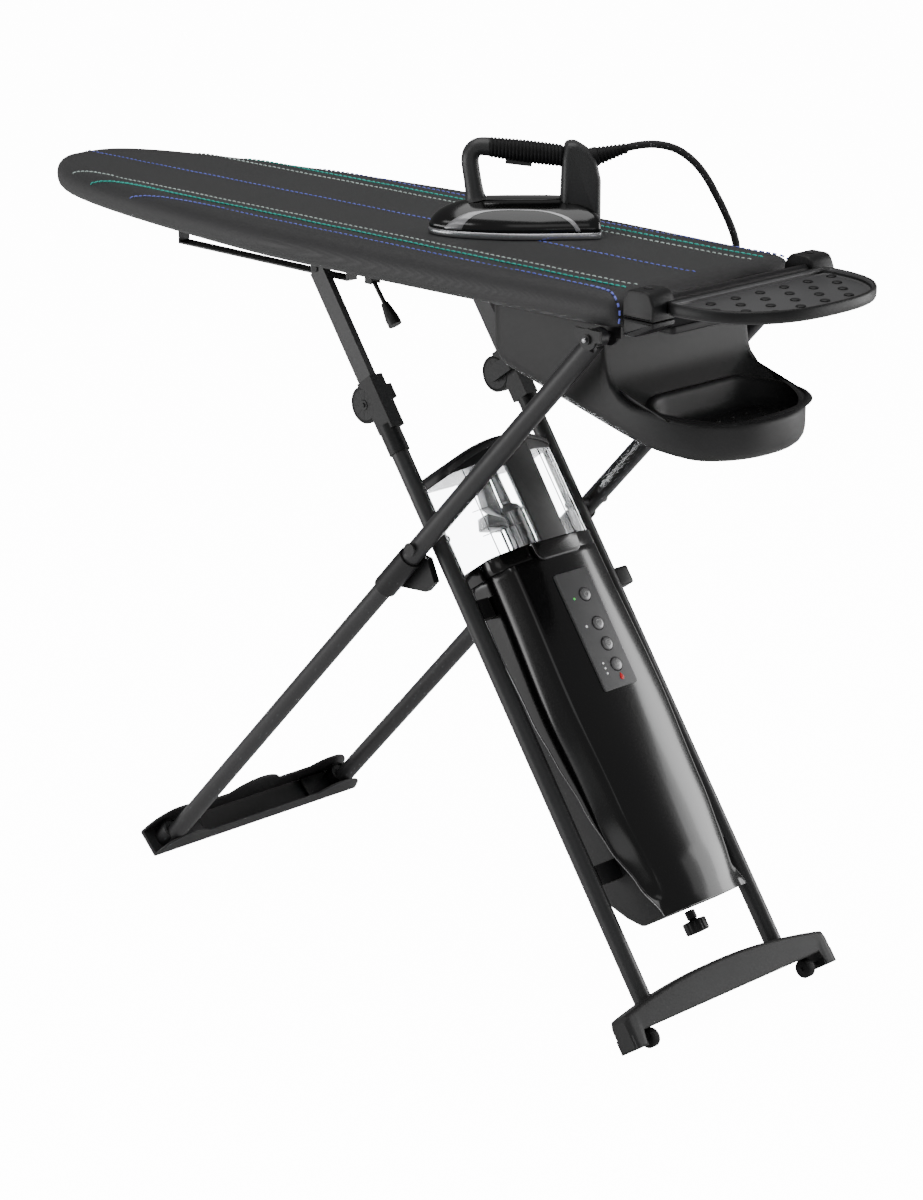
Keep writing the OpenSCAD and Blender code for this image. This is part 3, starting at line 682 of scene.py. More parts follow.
def crescent(side):
    """Silver inlay that lies on the shell's flank."""
    outer = spline([(19, 11), (25, 17.5), (35, 25), (48, 31), (62, 34.5), (85, 36.6), (108, 37.2), (140, 36.6),
                    (164, 33), (180, 26.5), (189, 18), (192.5, 11)], 5)
    inner = spline([(42.6, 11), (45, 16.5), (51, 23.5), (60, 29.5), (72, 33.2), (88, 35.2), (108, 36), (139, 35.2),
                    (160, 31.4), (174, 25), (182.5, 17.5), (186, 11)], 5)
    rings = []
    for o, q in zip(outer, inner):
        ring = []
        for t, lift in ((0, -0.5), (0.06, 0.5), (0.35, 0.8), (0.65, 0.8), (0.94, 0.5), (1, -0.5)):
            s, h = o.x + (q.x - o.x) * t, o.y + (q.y - o.y) * t
            ring.append(I(s, side * (dome_y(s, h) + lift), h))
        ring += [I(q.x, side * (dome_y(q.x, q.y) - 1.2), q.y), I(o.x, side * (dome_y(o.x, o.y) - 1.2), o.y)]
        rings.append(ring)
    return loft(rings)


add("iron_inlays", join([crescent(-1), crescent(1)]), "inlay", "iron", angle=50)

deck = round_poly([(66, -12), (100, -15), (150, -15), (172, -11), (172, 11), (150, 15), (100, 15), (66, 12)], 6)
add("iron_deck", slab(deck, 43.5, 46.4, 1.4, I), "gloss", "iron")

# Handle frame: bent front tube and rear pillar
post = spline([(61, 43, 14.5), (60, 48, 12.6), (58.6, 56, 11.7), (56.4, 70, 11.2), (54, 86, 11.2), (53.4, 95, 11.3),
               (55.2, 103, 11.4), (60, 108.6, 11.5), (67, 111.1, 11.6), (78, 110.6, 11.9)], 6)
front_tube = tube([I(p.x, 0, p.y) for p in post], [p.z / 1000 for p in post], n=28)
pillar = round_poly([(168, 40), (170, 98), (174, 117.5), (187, 118), (203, 108), (214, 92), (219, 70), (219, 14),
                     (206, 12), (178, 34)], [4, 10, 9, 14, 20, 22, 24, 5, 8, 10], 6)


def pillar_at(s, h, y):
    """Pillar narrows towards its top."""
    return I(s, y * (1 - 0.26 * max(0, h - 55) / 65), h)


add("iron_frame", join([front_tube, slab(pillar, -23, 23, 9, pillar_at, seg=5)]), "handle", "iron",
    ("iron_handle",), angle=50)


def grip_at(x, y, h):
    """Along the grip: h runs rearwards and falls 7 degrees."""
    t = radians(7)
    return I(77 + h * cos(t), y, 110.4 - h * sin(t) + x)


profile = [(9, -1), (12.6, 0)]
for i in range(20):
    h = 2 + 4.6 * i
    r = 12.7 + 1.7 * sin(pi * min(1, i / 19) * 0.75)
    profile += [(r - 1.0, h), (r + 0.15, h + 0.9), (r + 0.35, h + 2.0), (r + 0.15, h + 3.2), (r - 1.0, h + 4.0)]
profile += [(12.8, 95), (9, 96)]
add("iron_ribbed_grip", lathe(profile, grip_at, 40), "rubber", "iron", ("iron_grip",), angle=0)


def boot_at(x, y, h):
    """Along the cord boot, which rises 15 degrees to the rear."""
    t = radians(15)
    return I(204 + h * cos(t) - x * sin(t), y, 95.5 + h * sin(t) + x * cos(t))


profile = [(6, 0), (12.4, 2), (12.4, 9), (11.8, 12)]
for i in range(7):
    h, r = 13 + 5 * i, 11.2 - 0.72 * i
    profile += [(r - 0.9, h), (r - 0.9, h + 1.5), (r, h + 1.9), (r - 0.2, h + 4.6)]
profile += [(5.6, 49.5), (5.0, 50)]
add("cord_boot_ribbed", lathe(profile, boot_at, 32), "rubber", "iron", ("cord_boot",), angle=30)
NODES["iron_trigger"].data.materials.clear()
NODES["iron_trigger"].data.materials.append(M["handle"])


# --- generator casing ---

def half_width(u):
    """Half the casing's width: it narrows towards its lower end."""
    return lerp([(82, 78), (230, 93), (370, 98.5), (565, 93)], u, True)


SEAM = [(82, 48), (130, 31), (190, 18), (250, 8), (320, -1), (380, -8), (490, -16), (566, -18)]


def shell_section(u):
    """Half section from the parting line round to the middle of the front, as (y, k)."""
    w = half_width(u)
    kp = lerp(SEAM, u, True)
    kf = lerp([(82, 61), (150, 65), (370, 66.5), (566, 66)], u, True)
    edge = max(kp + 1.5, 22)
    corner = max(edge + 1.0, kf - 13)
    wide = 0.84 * w
    pts = [(w * 0.995, kp), (w - 0.6, (kp + edge) / 2), (w - 2.4, edge),
           (wide + (w - 2.4 - wide) * 0.5, edge + (corner - edge) * 0.5), (wide, corner)]
    for i in range(1, 9):
        t = i / 8
        y = wide * (1 - t)
        pts.append((y, corner + (kf - corner) * (1 - (1 - t) ** 2.2)))
    return pts


def make_shell():
    """Thin open shell: its section is divided finely and rounded off twice."""
    rings = []
    for u in [82 + 484 * i / 60 for i in range(61)]:
        half = shell_section(u)
        fine = [(a + (c - a) * q / 3, b + (d - b) * q / 3)
                for (a, b), (c, d) in zip(half, half[1:]) for q in range(3)]
        fine.append(half[-1])
        for _ in range(2):
            fine = [fine[0]] + [((p[0] + 2 * m[0] + n[0]) / 4, (p[1] + 2 * m[1] + n[1]) / 4)
                                for p, m, n in zip(fine, fine[1:], fine[2:])] + [fine[-1]]
        rings.append([S(u, -y, k) for y, k in fine] + [S(u, y, k) for y, k in reversed(fine[:-1])])
    n = len(rings[0])
    verts = [p for r in rings for p in r]
    faces = [(i * n + j, i * n + j + 1, (i + 1) * n + j + 1, (i + 1) * n + j)
             for i in range(len(rings) - 1) for j in range(n - 1)]
    faces.append(tuple(range(n)))
    me = bpy.data.meshes.new("generator_shell")
    me.from_pydata([tuple(p) for p in verts], [], faces)
    ob = new_object("generator_shell", me, "gloss")
    sol = ob.modifiers.new("wall", "SOLIDIFY")
    sol.thickness = 0.0028
    sol.offset = -1
    bev = ob.modifiers.new("edge", "BEVEL")
    bev.width = 0.0012
    bev.segments = 2
    bev.limit_method = "ANGLE"
    bm = bmesh.new()
    bm.from_mesh(me)
    bmesh.ops.recalc_face_normals(bm, faces=bm.faces)
    if sum((f.normal.dot(SK) for f in bm.faces)) < 0:
        bmesh.ops.reverse_faces(bm, faces=bm.faces)
    bm.to_mesh(me)
    bm.free()
    place(ob, "stand", ("generator_front",), angle=50)


make_shell()

# Light-coloured bead along the seam between the two halves of the casing
bead = [(u, lerp(SEAM, u, True) - 0.6) for u in [83 + 480 * i / 70 for i in range(71)]]
mesh = join([tube([S(u, side * (half_width(u) * 0.995 + 0.1), k) for u, k in bead], 0.0007, n=8)
             for side in (-1, 1)])
add("seam_bead", mesh, "inlay", "stand", angle=0)

# Rear housing: a loft up the legs with rounded sides and a chamfered lower end
rings = []
for u, k0, k1, cut in [(82, -6, 44, 4), (84, -10, 46, 2), (100, -26, 38, 0), (122, -43, 32, 0), (130, -44, 30, 0),
                       (250, -44, 7.4, 0), (380, -44, -8.6, 0), (490, -44, -16.6, 0), (565, -44, -18.6, 0),
                       (566, -43, -19, 1)]:
    w = lerp([(82, 75), (565, 88)], u) - cut
    ring = round_poly([(-w, k1), (-w, k0), (w, k0), (w, k1)], [0, 12, 12, 0], 5)
    rings.append([S(u, y, k) for y, k in ring])
add("rear_housing", loft(rings), "dark", "stand", ("generator_rear",), angle=35)

# Control panel with its buttons, icons and lamps
mesh = slab(rect(-30, 373, 30, 537, 4), 62.5, 67.6, 0.8, front)
add("panel_plate", mesh, "panel", "stand", ("control_panel", "indicator_lamps"))

BUTTONS = [("power_button", "power", 502), ("mode_button", "mode", 461), ("pulse_button", "pulse", 432),
           ("fan_button", "fan", 403)]
BUTTON_Y, ICON_K, LAMP_Y, DROP_U = 7, 70.0, -14, 386


def ring_icon(r, u, a0=0, a1=360):
    pts = [S(u + r * cos(radians(a)), BUTTON_Y + r * sin(radians(a)), ICON_K)
           for a in [a0 + (a1 - a0) * i / 28 for i in range(29)]]
    return tube(pts, 0.00035, n=6)


def bar_icon(u0, y0, u1, y1):
    return tube([S(u0, y0, ICON_K), S((u0 + u1) / 2, (y0 + y1) / 2, ICON_K), S(u1, y1, ICON_K)], 0.0004, n=6)


for node_name, body, u in BUTTONS:
    prof = [(7.0, 58.5), (8.4, 59), (8.4, 68.6), (8.0, 69.3), (7.0, 69.7), (3.0, 69.9), (0.4, 69.9)]
    mesh = lathe(prof, lambda x, y, h, u=u: S(u + x, BUTTON_Y + y, h), 40)
    add(body + "_cap", mesh, "button", node_name, (node_name,), angle=45)
    icons = {"power": [ring_icon(3.6, u, 35, 325), bar_icon(u + 1, 7, u + 5, 7)],
             "mode": [ring_icon(4.2, u), bar_icon(u - 2, 5, u + 2, 5), bar_icon(u - 2, 9, u + 2, 9),
                      bar_icon(u, 4, u, 10)],
             "pulse": [ring_icon(4.2, u), bar_icon(u + 1.2, 4, u + 1.2, 10), bar_icon(u - 1.4, 4, u - 1.4, 10)],
             "fan": [bar_icon(u - 4.4, 7, u + 4.4, 7), bar_icon(u, 2.6, u, 11.4), ring_icon(1.6, u)]}[body]
    add(body + "_icon", join(icons), "icon", node_name, angle=0)
    mesh = lathe([(8.7, 67.2), (9.7, 67.3), (9.9, 67.9), (9.4, 68.2), (8.8, 67.9), (8.7, 67.2)],
                 lambda x, y, h, u=u: S(u + x, BUTTON_Y + y, h), 40)
    add(body + "_collar", mesh, "black", "stand", angle=0)


def lens(u, r):
    return lathe([(r, 67.4), (r, 68.0), (r * 0.7, 68.4), (0.05, 68.6)],
                 lambda x, z, h: S(u + x, LAMP_Y + z, h), 20)


add("lamp_green", lens(500, 1.7), "green_lamp", "stand", angle=0)
mesh = join([lens(461, 1.5), lens(409, 1.3), lens(402, 1.3), lens(395, 1.3)])
add("lamps_white", mesh, "white_lamp", "stand", angle=0)
drop = [(BUTTON_Y, DROP_U + 5.2)] + [(BUTTON_Y + 3.2 * sin(t), DROP_U + 3.2 * cos(t) - 1.2)
                                     for t in [radians(60 + 240 * i / 16) for i in range(17)]]
add("lamp_red", slab(drop, 67.4, 68.3, 0.3, front, seg=2), "red_lamp", "stand")


# --- water tank and dock ---

ARC, TANK_FRONT, TANK_BACK = 200, 62, -42


def bow(y):
    """How far the tank's arched front has fallen back at y."""
    return ARC - sqrt(ARC * ARC - y * y)


def tank_plan(off):
    """Plan of the tank as (y, k), moved in by off."""
    w = 95 - off
    pts = []
    for i in range(25):
        y = (w - 7) * (-1 + 2 * i / 24)
        pts.append((y, TANK_FRONT - off - bow(y)))
    side, rear = TANK_FRONT - off - bow(w) - 6, TANK_BACK + off
    right = [(w - 1.5, side + 3), (w, side), (w, rear + 10), (w - 3, rear + 3), (w - 10, rear)]
    return pts + right + [(-y, k) for y, k in reversed(right)]


def tank_rings(levels):
    return [[S(u, y, k) for y, k in tank_plan(off)] for u, off in levels]


def lid_top(y):
    return 480 + sqrt(260 * 260 - y * y)


def lid_front(k, y):
    """Front of the lid at y, which turns back faster past the tank's corners."""
    return k - bow(min(abs(y), 86)) - (0 if abs(y) < 86 else (abs(y) - 86) * 1.6)


mesh = loft(tank_rings([(580, 8), (580.4, 5), (583, 3.6), (600, 3.5), (710, 3.5),
                        (710, 5.7), (600, 5.7), (584, 6.2), (582.6, 9)]))
add("tank_wall", mesh, "clear", "tank", ("water_tank",), angle=50)

# Fine moulded ribs and level marks on the tank
parts = []
for y in (-78, -52, -20, 20, 52, 78):
    k = 62 - 3.5 - bow(y)
    parts.append(tube([S(u, y, k + 0.3) for u in (582, 620, 660, 708)], 0.0008, n=8))
for u in (618, 652, 686):
    parts.append(tube([S(u, y, 58.5 - bow(y) + 0.2) for y in range(-88, -28, 6)], 0.0006, n=8))
add("tank_ribs", join(parts), "black", "tank", angle=0)

# Arched lid: lofted across its width, thicker at the front edge
rings = []
for i in range(33):
    y = -91.6 + 183.2 * i / 32
    top = lid_top(y)
    edge = min(1, (91.6 - abs(y)) / 5)
    kf = lid_front(58.6, y)
    lo = 709.2
    hi = max(lo + 4, top - 5 * (1 - edge) ** 2)
    sec = round_poly([(kf, lo), (kf + 0.8, hi - 4), (kf - 12, hi), (-36, hi), (-38.6, hi - 6), (-38.6, lo)],
                     [0.8, 3, 6, 6, 3, 0.8], 4)
    rings.append([S(u, y, k) for k, u in sec])
add("tank_cap", loft(rings), "black", "tank", ("tank_lid",), angle=40)
rings = []
for i in range(33):
    y = -91 + 182 * i / 32
    top, kf = lid_top(y), lid_front(58.8, y)
    sec = [(kf + 0.4, top - 13), (kf + 2.4, top - 12), (kf + 2.4, top - 6), (kf + 0.4, top - 5)]
    rings.append([S(u, y, k) for k, u in round_poly(sec, 0.8, 2)])
add("tank_cap_band", loft(rings), "dark", "tank", angle=40)

# Handle plate in front of the tank
mesh = slab(round_poly([(-24, 574), (24, 574), (26, 720), (-26, 720)], [11, 11, 6, 6], 6), 59.6, 66.6, 1.6, front)
add("tank_front_plate", mesh, "handle", "tank", ("tank_handle",), angle=45)

# Parts inside the tank: outlet valve, cage, float and filter column
parts = [lathe([(9, 572), (9, 584), (17, 585), (18, 596), (16, 600), (16, 640), (18, 644), (13, 652), (7, 656),
                (6, 700), (8, 704), (2, 706)], lambda x, y, h: S(h, y, 10 + x), 32)]
for t in range(0, 360, 45):
    a = radians(t)
    parts.append(tube([S(u, 21 * sin(a), 10 + 21 * cos(a)) for u in (586, 610, 642)], 0.0016, n=8))
add("filter_column", join(parts), "black", "tank", ("tank_filter",), angle=35)
parts = [slab(round_poly([(-58, 632), (-22, 624), (-20, 636), (-50, 650)], 3), 0, 22, 2, front),
         slab(round_poly([(-34, 660), (-14, 640), (-10, 700), (-26, 708)], 4), -4, 12, 2, front),
         slab(round_poly([(24, 630), (52, 644), (60, 672), (40, 676), (28, 650)], 4), 8, 30, 2, front),
         slab(round_poly([(30, 584), (64, 584), (60, 612), (48, 622), (34, 616)], 4), 0, 30, 2, front),
         slab(round_poly([(27, 690), (34, 690), (40, 708), (27, 708)], 2), 10, 44, 1, front)]
add("tank_internals", join(parts), "black", "tank", angle=35)

# Dock: glossy collar the tank stands in, with a recess for the fingers
mesh = loft(tank_rings([(566.5, 2.5), (567, 1.2), (569, 0.6), (585, 0.6), (587.5, 1.2), (588, 2.2),
                        (587.5, 3.0), (577, 3.1), (576, 4.5)]))
add("dock_collar", mesh, "gloss", "stand", ("tank_dock",), angle=40)
rim = round_poly([(-40, 560), (38, 560), (40, 586), (-42, 586)], [16, 16, 2, 2], 6)
add("dock_lip", slab(rim, 60, 67.6, 2.4, front), "gloss", "stand", angle=40)


# --- storage box under the square end ---

def under(x):
    """Underside of the storage box."""
    return lerp([(257, 836), (263.5, 830), (285.5, 816), (400, 786), (527.5, 753), (572.5, 744), (627.5, 742)], x)


def rim_height(x):
    """Top of its wall: level, then swept down to the basin."""
    return lerp([(257, 902), (452, 902), (456, 900), (457.5, 880), (459.5, 858), (463, 841), (467.5, 830),
                 (474, 822), (484, 814), (500, 807), (560, 799), (623, 791)], x)


def d_shape(x0, half, x1, corner, xs):
    """D-shaped outline: square back edge, straight sides through xs, rounded end."""
    near = [(x0, -half * 0.4), (x0, -(half - corner))]
    for i in range(1, 13):
        t = pi / 2 * i / 12
        near.append((x0 + corner * (1 - cos(t)), -(half - corner * (1 - sin(t)))))
    near += [(x, -half) for x in xs]
    for i in range(1, 27):
        t = pi / 2 * i / 27
        near.append((xs[-1] + (x1 - xs[-1]) * sin(t) ** 0.85, -half * cos(t) ** 0.85))
    return [(x0, 0)] + near + [(x1, 0)] + [(x, -y) for x, y in reversed(near)]


SHOULDER = [300, 350, 400, 430, 449, 453, 456, 457.5, 459.5, 463, 467.5]
TRAY = d_shape(257.5, 130, 622.5, 28, SHOULDER)
BASIN = d_shape(494, 111, 606, 52, [547 + 0.6 * i for i in range(11)])
BOWL_FLOOR = 773


def filled(rings, name, mat, body, hide, angle):
    """Closed skin through rings with its two ends filled."""
    bm = bmesh.new()
    rows = [[bm.verts.new(p) for p in r] for r in rings]
    n = len(rows[0])
    skin(bm, rows)
    for row in (rows[0], rows[-1]):
        loop = [bm.edges.get((row[j], row[(j + 1) % n])) for j in range(n)]
        bmesh.ops.triangle_fill(bm, edges=loop, use_beauty=True, use_dissolve=False)
    place(from_bmesh(name, bm, mat), body, hide, angle=angle)


FOOT_ROUND = ((26, 0), (17, 1), (10, 3.4), (5, 7.5), (1.6, 13.5), (0.2, 21))
rings = [[B(x, y, under(x) + dz) for x, y in inset(TRAY, d)] for d, dz in FOOT_ROUND]
rings += [[B(x, y, rim_height(x) - dz) for x, y in inset(TRAY, d)]
          for d, dz in ((0, 7), (0.3, 4.2), (1.4, 1.6), (3.6, 0.2), (6, 0))]
for d, x_min in ((6.5, 452), (7, 456.5), (7.5, 459.5), (8, 463.5), (8.5, 468), (9.5, 474)):
    rings.append([B(max(x, x_min), y, rim_height(max(x, x_min))) for x, y in inset(TRAY, d)])
rings += [[B(x, y, lerp([(482, 808), (500, 803), (608, 791)], x) + dz) for x, y in inset(BASIN, d)]
          for d, dz in ((-9, 0), (-7, 2), (-4, 2.9), (-1, 2.5), (1, 0.4), (2.4, -4))]
rings += [[B(x, y, BOWL_FLOOR + dz) for x, y in inset(BASIN, d)]
          for d, dz in ((6, 11), (9, 6), (14, 2.2), (21, 0.5), (28, 0))]
filled(rings, "storage_bowl", "dark", "board", ("storage_box",), angle=60)

clean = inset(BASIN, 24)
parts = [slab(clean, BOWL_FLOOR - 0.5, BOWL_FLOOR + 1.2, 0.6, B, seg=2)]
for i in range(4):
    for j in range(-3, 4):
        x, y = 520 + 19 * i, 26 * j + 13 * (i % 2)
        if inside(clean, x, y) and edge_distance(clean, x, y) > 6:
            parts.append(lathe([(3.4, BOWL_FLOOR + 0.9), (3.2, BOWL_FLOOR + 2.2), (2.4, BOWL_FLOOR + 3.3),
                                (0.05, BOWL_FLOOR + 3.8)],
                               lambda a, b, h, x=x, y=y: B(x + a, y + b, h), 16))
add("bowl_mat", join(parts), "dark", "board", ("basin_mat",), angle=40)


# --- hinge blocks and iron rest at the square end ---

parts = []
for side in (-1, 1):
    low_block = round_poly([(519.5, 902), (540, 904), (567.5, 918), (567.5, 924.3), (519.5, 924.3)], 2, 3)
    top_block = round_poly([(519.5, 925), (567.5, 925), (567.5, 944), (560, 960), (528, 960), (519.5, 946)],
                           [2, 2, 9, 13, 13, 9], 6)
    for outline in (low_block, top_block):
        parts.append(slab(outline, 125, 165, 3, lambda x, z, y, side=side: B(x, side * y, z)))
    parts.append(lathe([(6.5, 959.4), (6.5, 960.6), (5.6, 961), (0.05, 961)],
                       lambda a, b, h, side=side: B(543 + a, side * 145 + b, h), 24))
parts.append(slab(rect(511.5, -123, 562, 123, 6), 903, 913.5, 3, B))
parts.append(slab(rect(458, -119, 516, 119, 3), 902, 905.7, 1, B))
add("hinge_housings", join(parts), "black", "board", ("rest_hinge_blocks",), angle=28)
parts = [lathe([(3.4, 186.2), (3.2, 188), (2.2, 188.6), (0.05, 188.7)],
               lambda a, b, h, side=side: B(479.5 + a, side * h, 894 + b), 20) for side in (-1, 1)]
add("pivot_screws", join(parts), "steel", "board", angle=40)
parts = [slab([(-4.6, -0.6), (4.6, -0.6), (4.6, 0.6), (-4.6, 0.6)], 960.7, 961.25, 0.1,
              lambda x, y, z, side=side: B(543 + x, side * 145 + y, z)) for side in (-1, 1)]
add("hinge_screw_slots", join(parts), "panel", "board", angle=0)


REST = [(578 + 129.5 * max(0, cos(t)) ** 0.8, 146 * abs(sin(t)) ** 0.8 * (1 if t > 0 else -1))
        for t in [pi / 2 * i / 30 for i in range(-30, 31)]]
REST += [(566, y) for y in (138, 100, 50, 0, -50, -100, -138)]
rings = [[B(x, y, z) for x, y in inset(REST, d)] for d, z in
         ((4, 932), (1, 932.6), (0.1, 935), (0, 940), (0.2, 944.5), (1.2, 946.4), (2.8, 947), (4.4, 946.4),
          (5.6, 944.2), (6.6, 940.6), (8.4, 939.2), (11, 939))]
filled(rings, "rest_pan", "plate", "iron_rest", ("iron_rest",), angle=50)
rings = [[B(x, y, z) for x, y in inset(REST, d)] for d, z in
         ((7.2, 939.6), (5.4, 944.4), (4.2, 946.8), (2.8, 947.5), (1.0, 946.9), (-0.2, 944.6), (-0.3, 938),
          (0.2, 934.4), (1.4, 932.2))]
add("rest_rim", loft(rings, caps=(False, False)), "black", "iron_rest", angle=60)
parts = []
for i in range(4):
    for j in range(-3, 4):
        x, y = 589 + 27 * i, 44 * j + 22 * (i % 2)
        if inside(REST, x, y) and edge_distance(REST, x, y) > 12:
            parts.append(lathe([(6.2, 938.7), (6.2, 939.9), (5.2, 940.7), (0.05, 941)],
                               lambda a, b, h, x=x, y=y: B(x + a, y + b, h), 18))
parts.append(slab(rect(553, -121, 580, 121, 4), 932, 938.6, 2, B))
parts.append(lathe([(0.05, -123), (6, -123), (7, -122), (7, 122), (6, 123), (0.05, 123)],
                   lambda a, b, h: B(554.5 + a, h, 943.5 + b), 32))
add("rest_studs", join(parts), "black", "iron_rest", ("rest_pin",), angle=35)


# --- feet and wheels ---

CHANNEL_V = -1217.0


def crest(y, base, mid, end):
    """Height of the channel's wall: humps in the middle and over the sockets, low ends."""
    y = abs(y)
    h = base
    if y < 58:
        h = max(h, mid - 60 + sqrt(3600 - y * y))
    if abs(y - 145) < 52:
        h = max(h, end - 60 + sqrt(3600 - (y - 145) ** 2))
    return min(h, lerp([(150, 60), (160, 50), (170, 45), (179, 37), (186, 27), (190.5, 17), (193, 7.5)], y)
               if y > 150 else h)


rings = []
for i in range(97):
    y = -193 + 386 * i / 96
    hb, hf = max(7.2, crest(y, 40, 64, 52)), max(7, crest(y, 30, 31, 45))
    rings.append([L(CHANNEL_V + h, y, x) for x, h in round_poly(
        [(-28.5, 0), (14.1, 0), (14.1, hf), (11.2, hf), (11.0, 6.4), (-25.4, 6.4), (-25.2, hb), (-28.5, hb)],
        [3, 3, 1.2, 1.2, 0.3, 0.3, 1.2, 1.2], 3)])
add("front_foot_channel", loft(rings), "dark", "front_legs", ("front_foot",), angle=40)
parts = []
for side in (-1, 1):
    parts.append(lathe([(12.9, 5.5), (17, 6.2), (17, 29), (16, 32), (13.2, 33), (12.9, 30)],
                       lambda a, b, h, side=side: L(CHANNEL_V + h, side * 162 + a, -7 + b), 32))
    plate = [(side * 100, -24), (side * 150, -24), (side * 150, 9), (side * 100, 9)][::side]
    parts.append(slab(round_poly(plate, 4), 6.2, 15, 3, lambda y, x, h: L(CHANNEL_V + h, y, x)))
add("front_foot_sockets", join(parts), "black", "front_legs", angle=35)

# Stand foot: arched bar with rounded edges and ends
rings = []
for i in range(81):
    y = -193 + 386 * i / 80
    e = max(0, abs(y) - 187) / 6
    top = 8 - 20 * (y / 193) ** 2 - 5 * e ** 2
    low = -36 + 2.5 * e ** 2 - (19 if abs(y) > 171 else 0) * min(1, max(0, (abs(y) - 169) / 4))
    k0, k1 = -4 + 3 * e ** 2, 28 - 3 * e ** 2
    rings.append([S(u, y, k) for k, u in round_poly([(k0, low), (k1, low), (k1, top), (k0, top)], [2, 3, 6, 6], 5)])
add("stand_foot_bar", loft(rings), "dark", "stand", ("stand_foot",), angle=35)

WHEEL_Y = 120
for name, side in (("transport_wheel_left", -1), ("transport_wheel_right", 1)):
    def hub(a, b, h, side=side):
        return S(842 + a, side * WHEEL_Y + h, -25 + b)
    tyre = [(20.4, -7), (22.6, -8.4), (25, -6.4), (25, 6.4), (22.6, 8.4), (20.4, 7), (19.8, 0), (20.4, -7)]
    boss = [(3.1, -8.3), (6.4, -8.3), (7, -7.6), (7, 7.6), (6.4, 8.3), (3.1, 8.3), (3.1, -8.3)]
    parts = [lathe(tyre, hub, 48), lathe(boss, hub, 28)]
    for i in range(10):
        t = 2 * pi * i / 10
        c, q = cos(t), sin(t)
        parts.append(slab([(6, -1.1), (21, -1.1), (21, 1.1), (6, 1.1)], -7.2, 7.2, 0.4,
                          lambda a, b, h, c=c, q=q, hub=hub: hub(a * c - b * q, a * q + b * c, h), seg=2))
    add(name + "_spoked", join(parts), "dark", name, (name,), angle=35)
for name, side in (("floor_wheel_left", -1), ("floor_wheel_right", 1)):
    mesh = lathe([(2.1, -7), (9, -7), (11.6, -6.4), (12.5, -4.8), (12.5, 4.8), (11.6, 6.4), (9, 7), (2.1, 7),
                  (2.1, -7)],
                 lambda a, b, h, side=side: B(571.5 + a, side * 150 + h, 14 + b), 40)
    add(name + "_tyre", mesh, "rubber", name, (name,), angle=35)

def clip_at(k, u, y):
    return S(521.5 + u, y, k)


# Cord clip on the far leg of the stand
mesh = slab(rect(-11, -13, 11, 13, 4), 129, 157, 3, clip_at)
add("cord_clip", mesh, "black", "stand", angle=35)
mesh = slab(rect(-5, -6, 5, 6, 2), 156, 158.5, 0.8, clip_at)
add("cord_clip_button", mesh, "panel", "stand", angle=35)

# Drain cap with grip ribs
profile = [(5, 79), (8, 78), (8, 68), (6, 66), (16.5, 65), (17.5, 63.5), (17.5, 50.5), (16, 48.6),
           (9, 48.2), (0.05, 48.2)]


def knob_at(r, u, j):
    rib = 1 + (0.05 if r > 15 and j % 4 < 2 else 0)
    t = 2 * pi * j / 64
    return S(u, r * rib * sin(t) * 0.86, 11 + r * rib * cos(t) * 0.86)


mesh = loft([[knob_at(r, u, j) for j in range(64)] for r, u in profile])
add("drain_knob", mesh, "black", "drain_cap", ("drain_cap",), angle=30)


# --- finish of the CAD pieces that stay ---

FINISH = {
    "paint": ["stand_tubes", "leg_tubes", "stand_arms", "slide_rails"],
    "tub": ["board_tub"],
    "black": ["wheel_housings", "stand_foot_pads", "generator_brackets", "mains_inlet", "leg_collars",
              "front_foot_pads", "pivot_brackets", "height_lever", "steam_gland", "blower_housing"],
    "steel": ["boiler", "blower_motor"],
    "dark": ["slide_rod", "blower_fan", "cross_pivots", "pivot_bolts"],
    "brass": ["steam_valve"],
    "white": ["water_pump"],
    "board": ["control_board"],
}
SOFT_EDGE = {"stand_arms": 3, "wheel_housings": 1.5, "stand_foot_pads": 2.5, "generator_brackets": 1.2,
             "leg_collars": 1.2, "pivot_brackets": 1, "height_lever": 0.8, "slide_rails": 0.6,
             "mains_inlet": 0.5, "slide_rod": 0.6, "cross_pivots": 0.6, "pivot_bolts": 0.6, "boiler": 2,
             "blower_housing": 1.5}
for mat, names in FINISH.items():
    for name in names:
        ob = NODES[name]
        ob.data.materials.clear()
        ob.data.materials.append(M[mat])
        if name in SOFT_EDGE:
            bev = ob.modifiers.new("soft_edge", "BEVEL")
            bev.width = SOFT_EDGE[name] / 1000
            bev.segments = 3
            bev.limit_method = "ANGLE"
            bev.angle_limit = radians(50)


# --- floor, backdrop and light ---

WHITE = (1, 1, 1, 1)


def seen_rays(tree):
    """Light path node, and a socket that is 1 for camera and transmission rays."""
    ray = node(tree, "LightPath")
    return ray, math_node(tree, "MAXIMUM", ray.outputs["Is Camera Ray"], ray.outputs["Is Transmission Ray"])


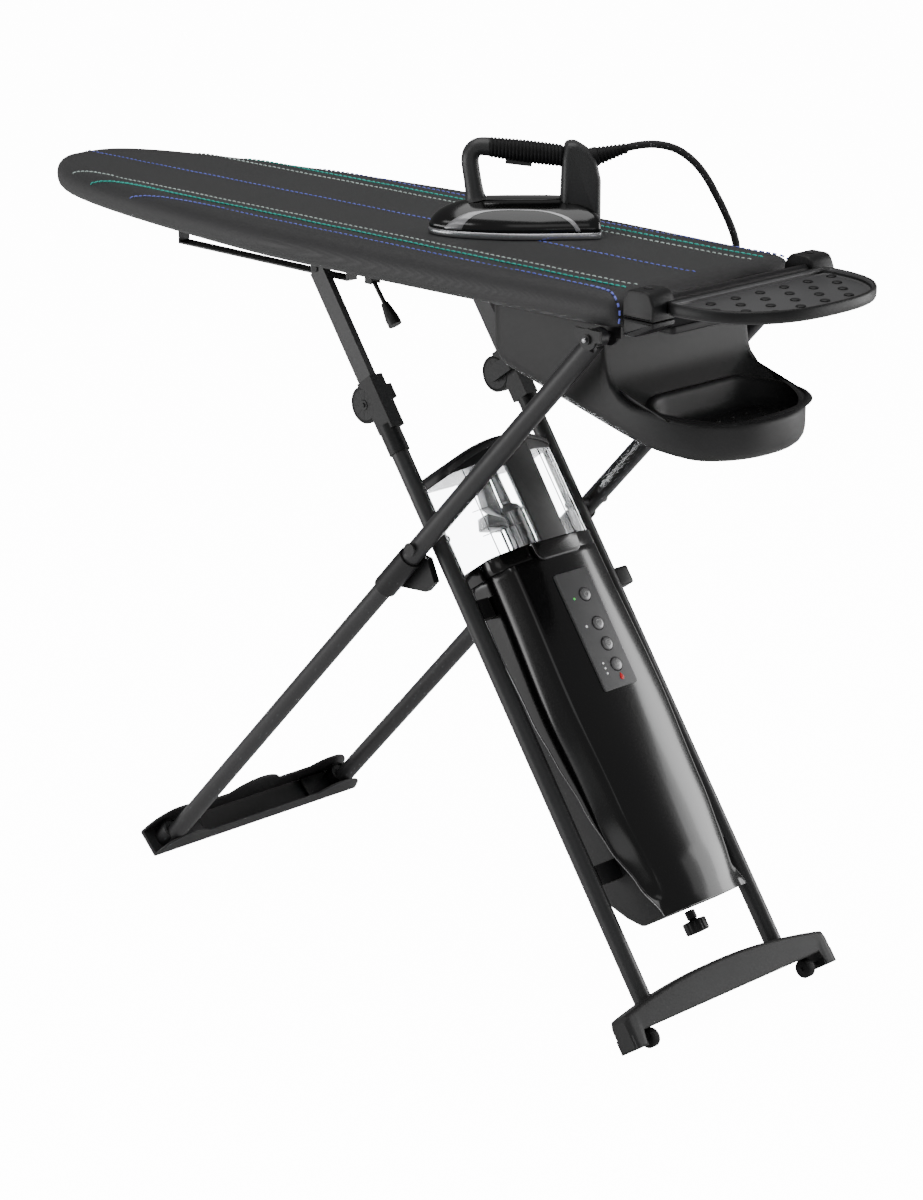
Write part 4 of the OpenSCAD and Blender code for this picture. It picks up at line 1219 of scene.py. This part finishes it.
# The floor and the world glow for the camera, and light the object only a little
floor_me = bpy.data.meshes.new("floor")
floor_me.from_pydata([(x, y, -0.0003) for x, y in ((-9, -9), (9, -9), (9, 9), (-9, 9))], [], [(0, 1, 2, 3)])
floor_mat = bpy.data.materials.new("floor")
floor_mat.use_nodes = True
tree = floor_mat.node_tree
shader = tree.nodes["Principled BSDF"].inputs
for socket, value in (("Base Color", (0.93, 0.93, 0.93, 1)), ("Roughness", 0.9),
                      ("Specular IOR Level", 0.1), ("Emission Color", WHITE)):
    shader[socket].default_value = value
ray, seen = seen_rays(tree)
seen = math_node(tree, "MULTIPLY_ADD", ray.outputs["Is Glossy Ray"], 0.014, seen)
tree.links.new(math_node(tree, "MULTIPLY", seen, 14), shader["Emission Strength"])
floor_me.materials.append(floor_mat)
floor = bpy.data.objects.new("floor", floor_me)
scene.collection.objects.link(floor)
floor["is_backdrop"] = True

world = bpy.data.worlds.new("studio")
scene.world = world
world.use_nodes = True
tree = world.node_tree
tree.nodes["Background"].inputs["Color"].default_value = WHITE
mix = tree.nodes.new("ShaderNodeMix")
mix.data_type = "FLOAT"
mix.inputs[2].default_value = 0.2
mix.inputs[3].default_value = 15
tree.links.new(seen_rays(tree)[1], mix.inputs[0])
tree.links.new(mix.outputs[0], tree.nodes["Background"].inputs["Strength"])


def softbox(name, at, towards, width, height, power):
    """Area light, not itself seen by the camera."""
    light = bpy.data.lights.new(name, "AREA")
    light.shape = "RECTANGLE"
    light.size, light.size_y = width, height
    light.energy = power
    ob = bpy.data.objects.new(name, light)
    scene.collection.objects.link(ob)
    ob.location = at
    ob.rotation_euler = (Vector(at) - Vector(towards)).to_track_quat("Z", "Y").to_euler()
    ob.visible_camera = False


MIDDLE = (0.1, 0, 0.6)
softbox("overhead", (0.2, -0.3, 3.6), MIDDLE, 3.0, 3.0, 62)
softbox("right_far", (1.7, 3.4, 1.0), (0.2, 0, 0.6), 1.2, 2.0, 48)
softbox("right_middle", (2.65, 2.9, 1.0), (0.2, 0, 0.6), 0.9, 2.0, 20)
softbox("right_near", (3.2, 2.2, 1.0), (0.2, 0, 0.6), 0.8, 2.0, 4)
softbox("left_low", (-1.6, -2.9, 0.45), (0.2, 0, 0.5), 2.5, 1.3, 44)
softbox("front_fill", (3.2, -1.2, 0.6), MIDDLE, 1.4, 1.2, 5)
softbox("left_high", (-0.4, -3.0, 2.5), MIDDLE, 2.2, 0.5, 9)
softbox("front_high", (2.6, -2.2, 2.6), MIDDLE, 1.6, 1.0, 3)


# --- finishing ---

lo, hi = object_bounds()
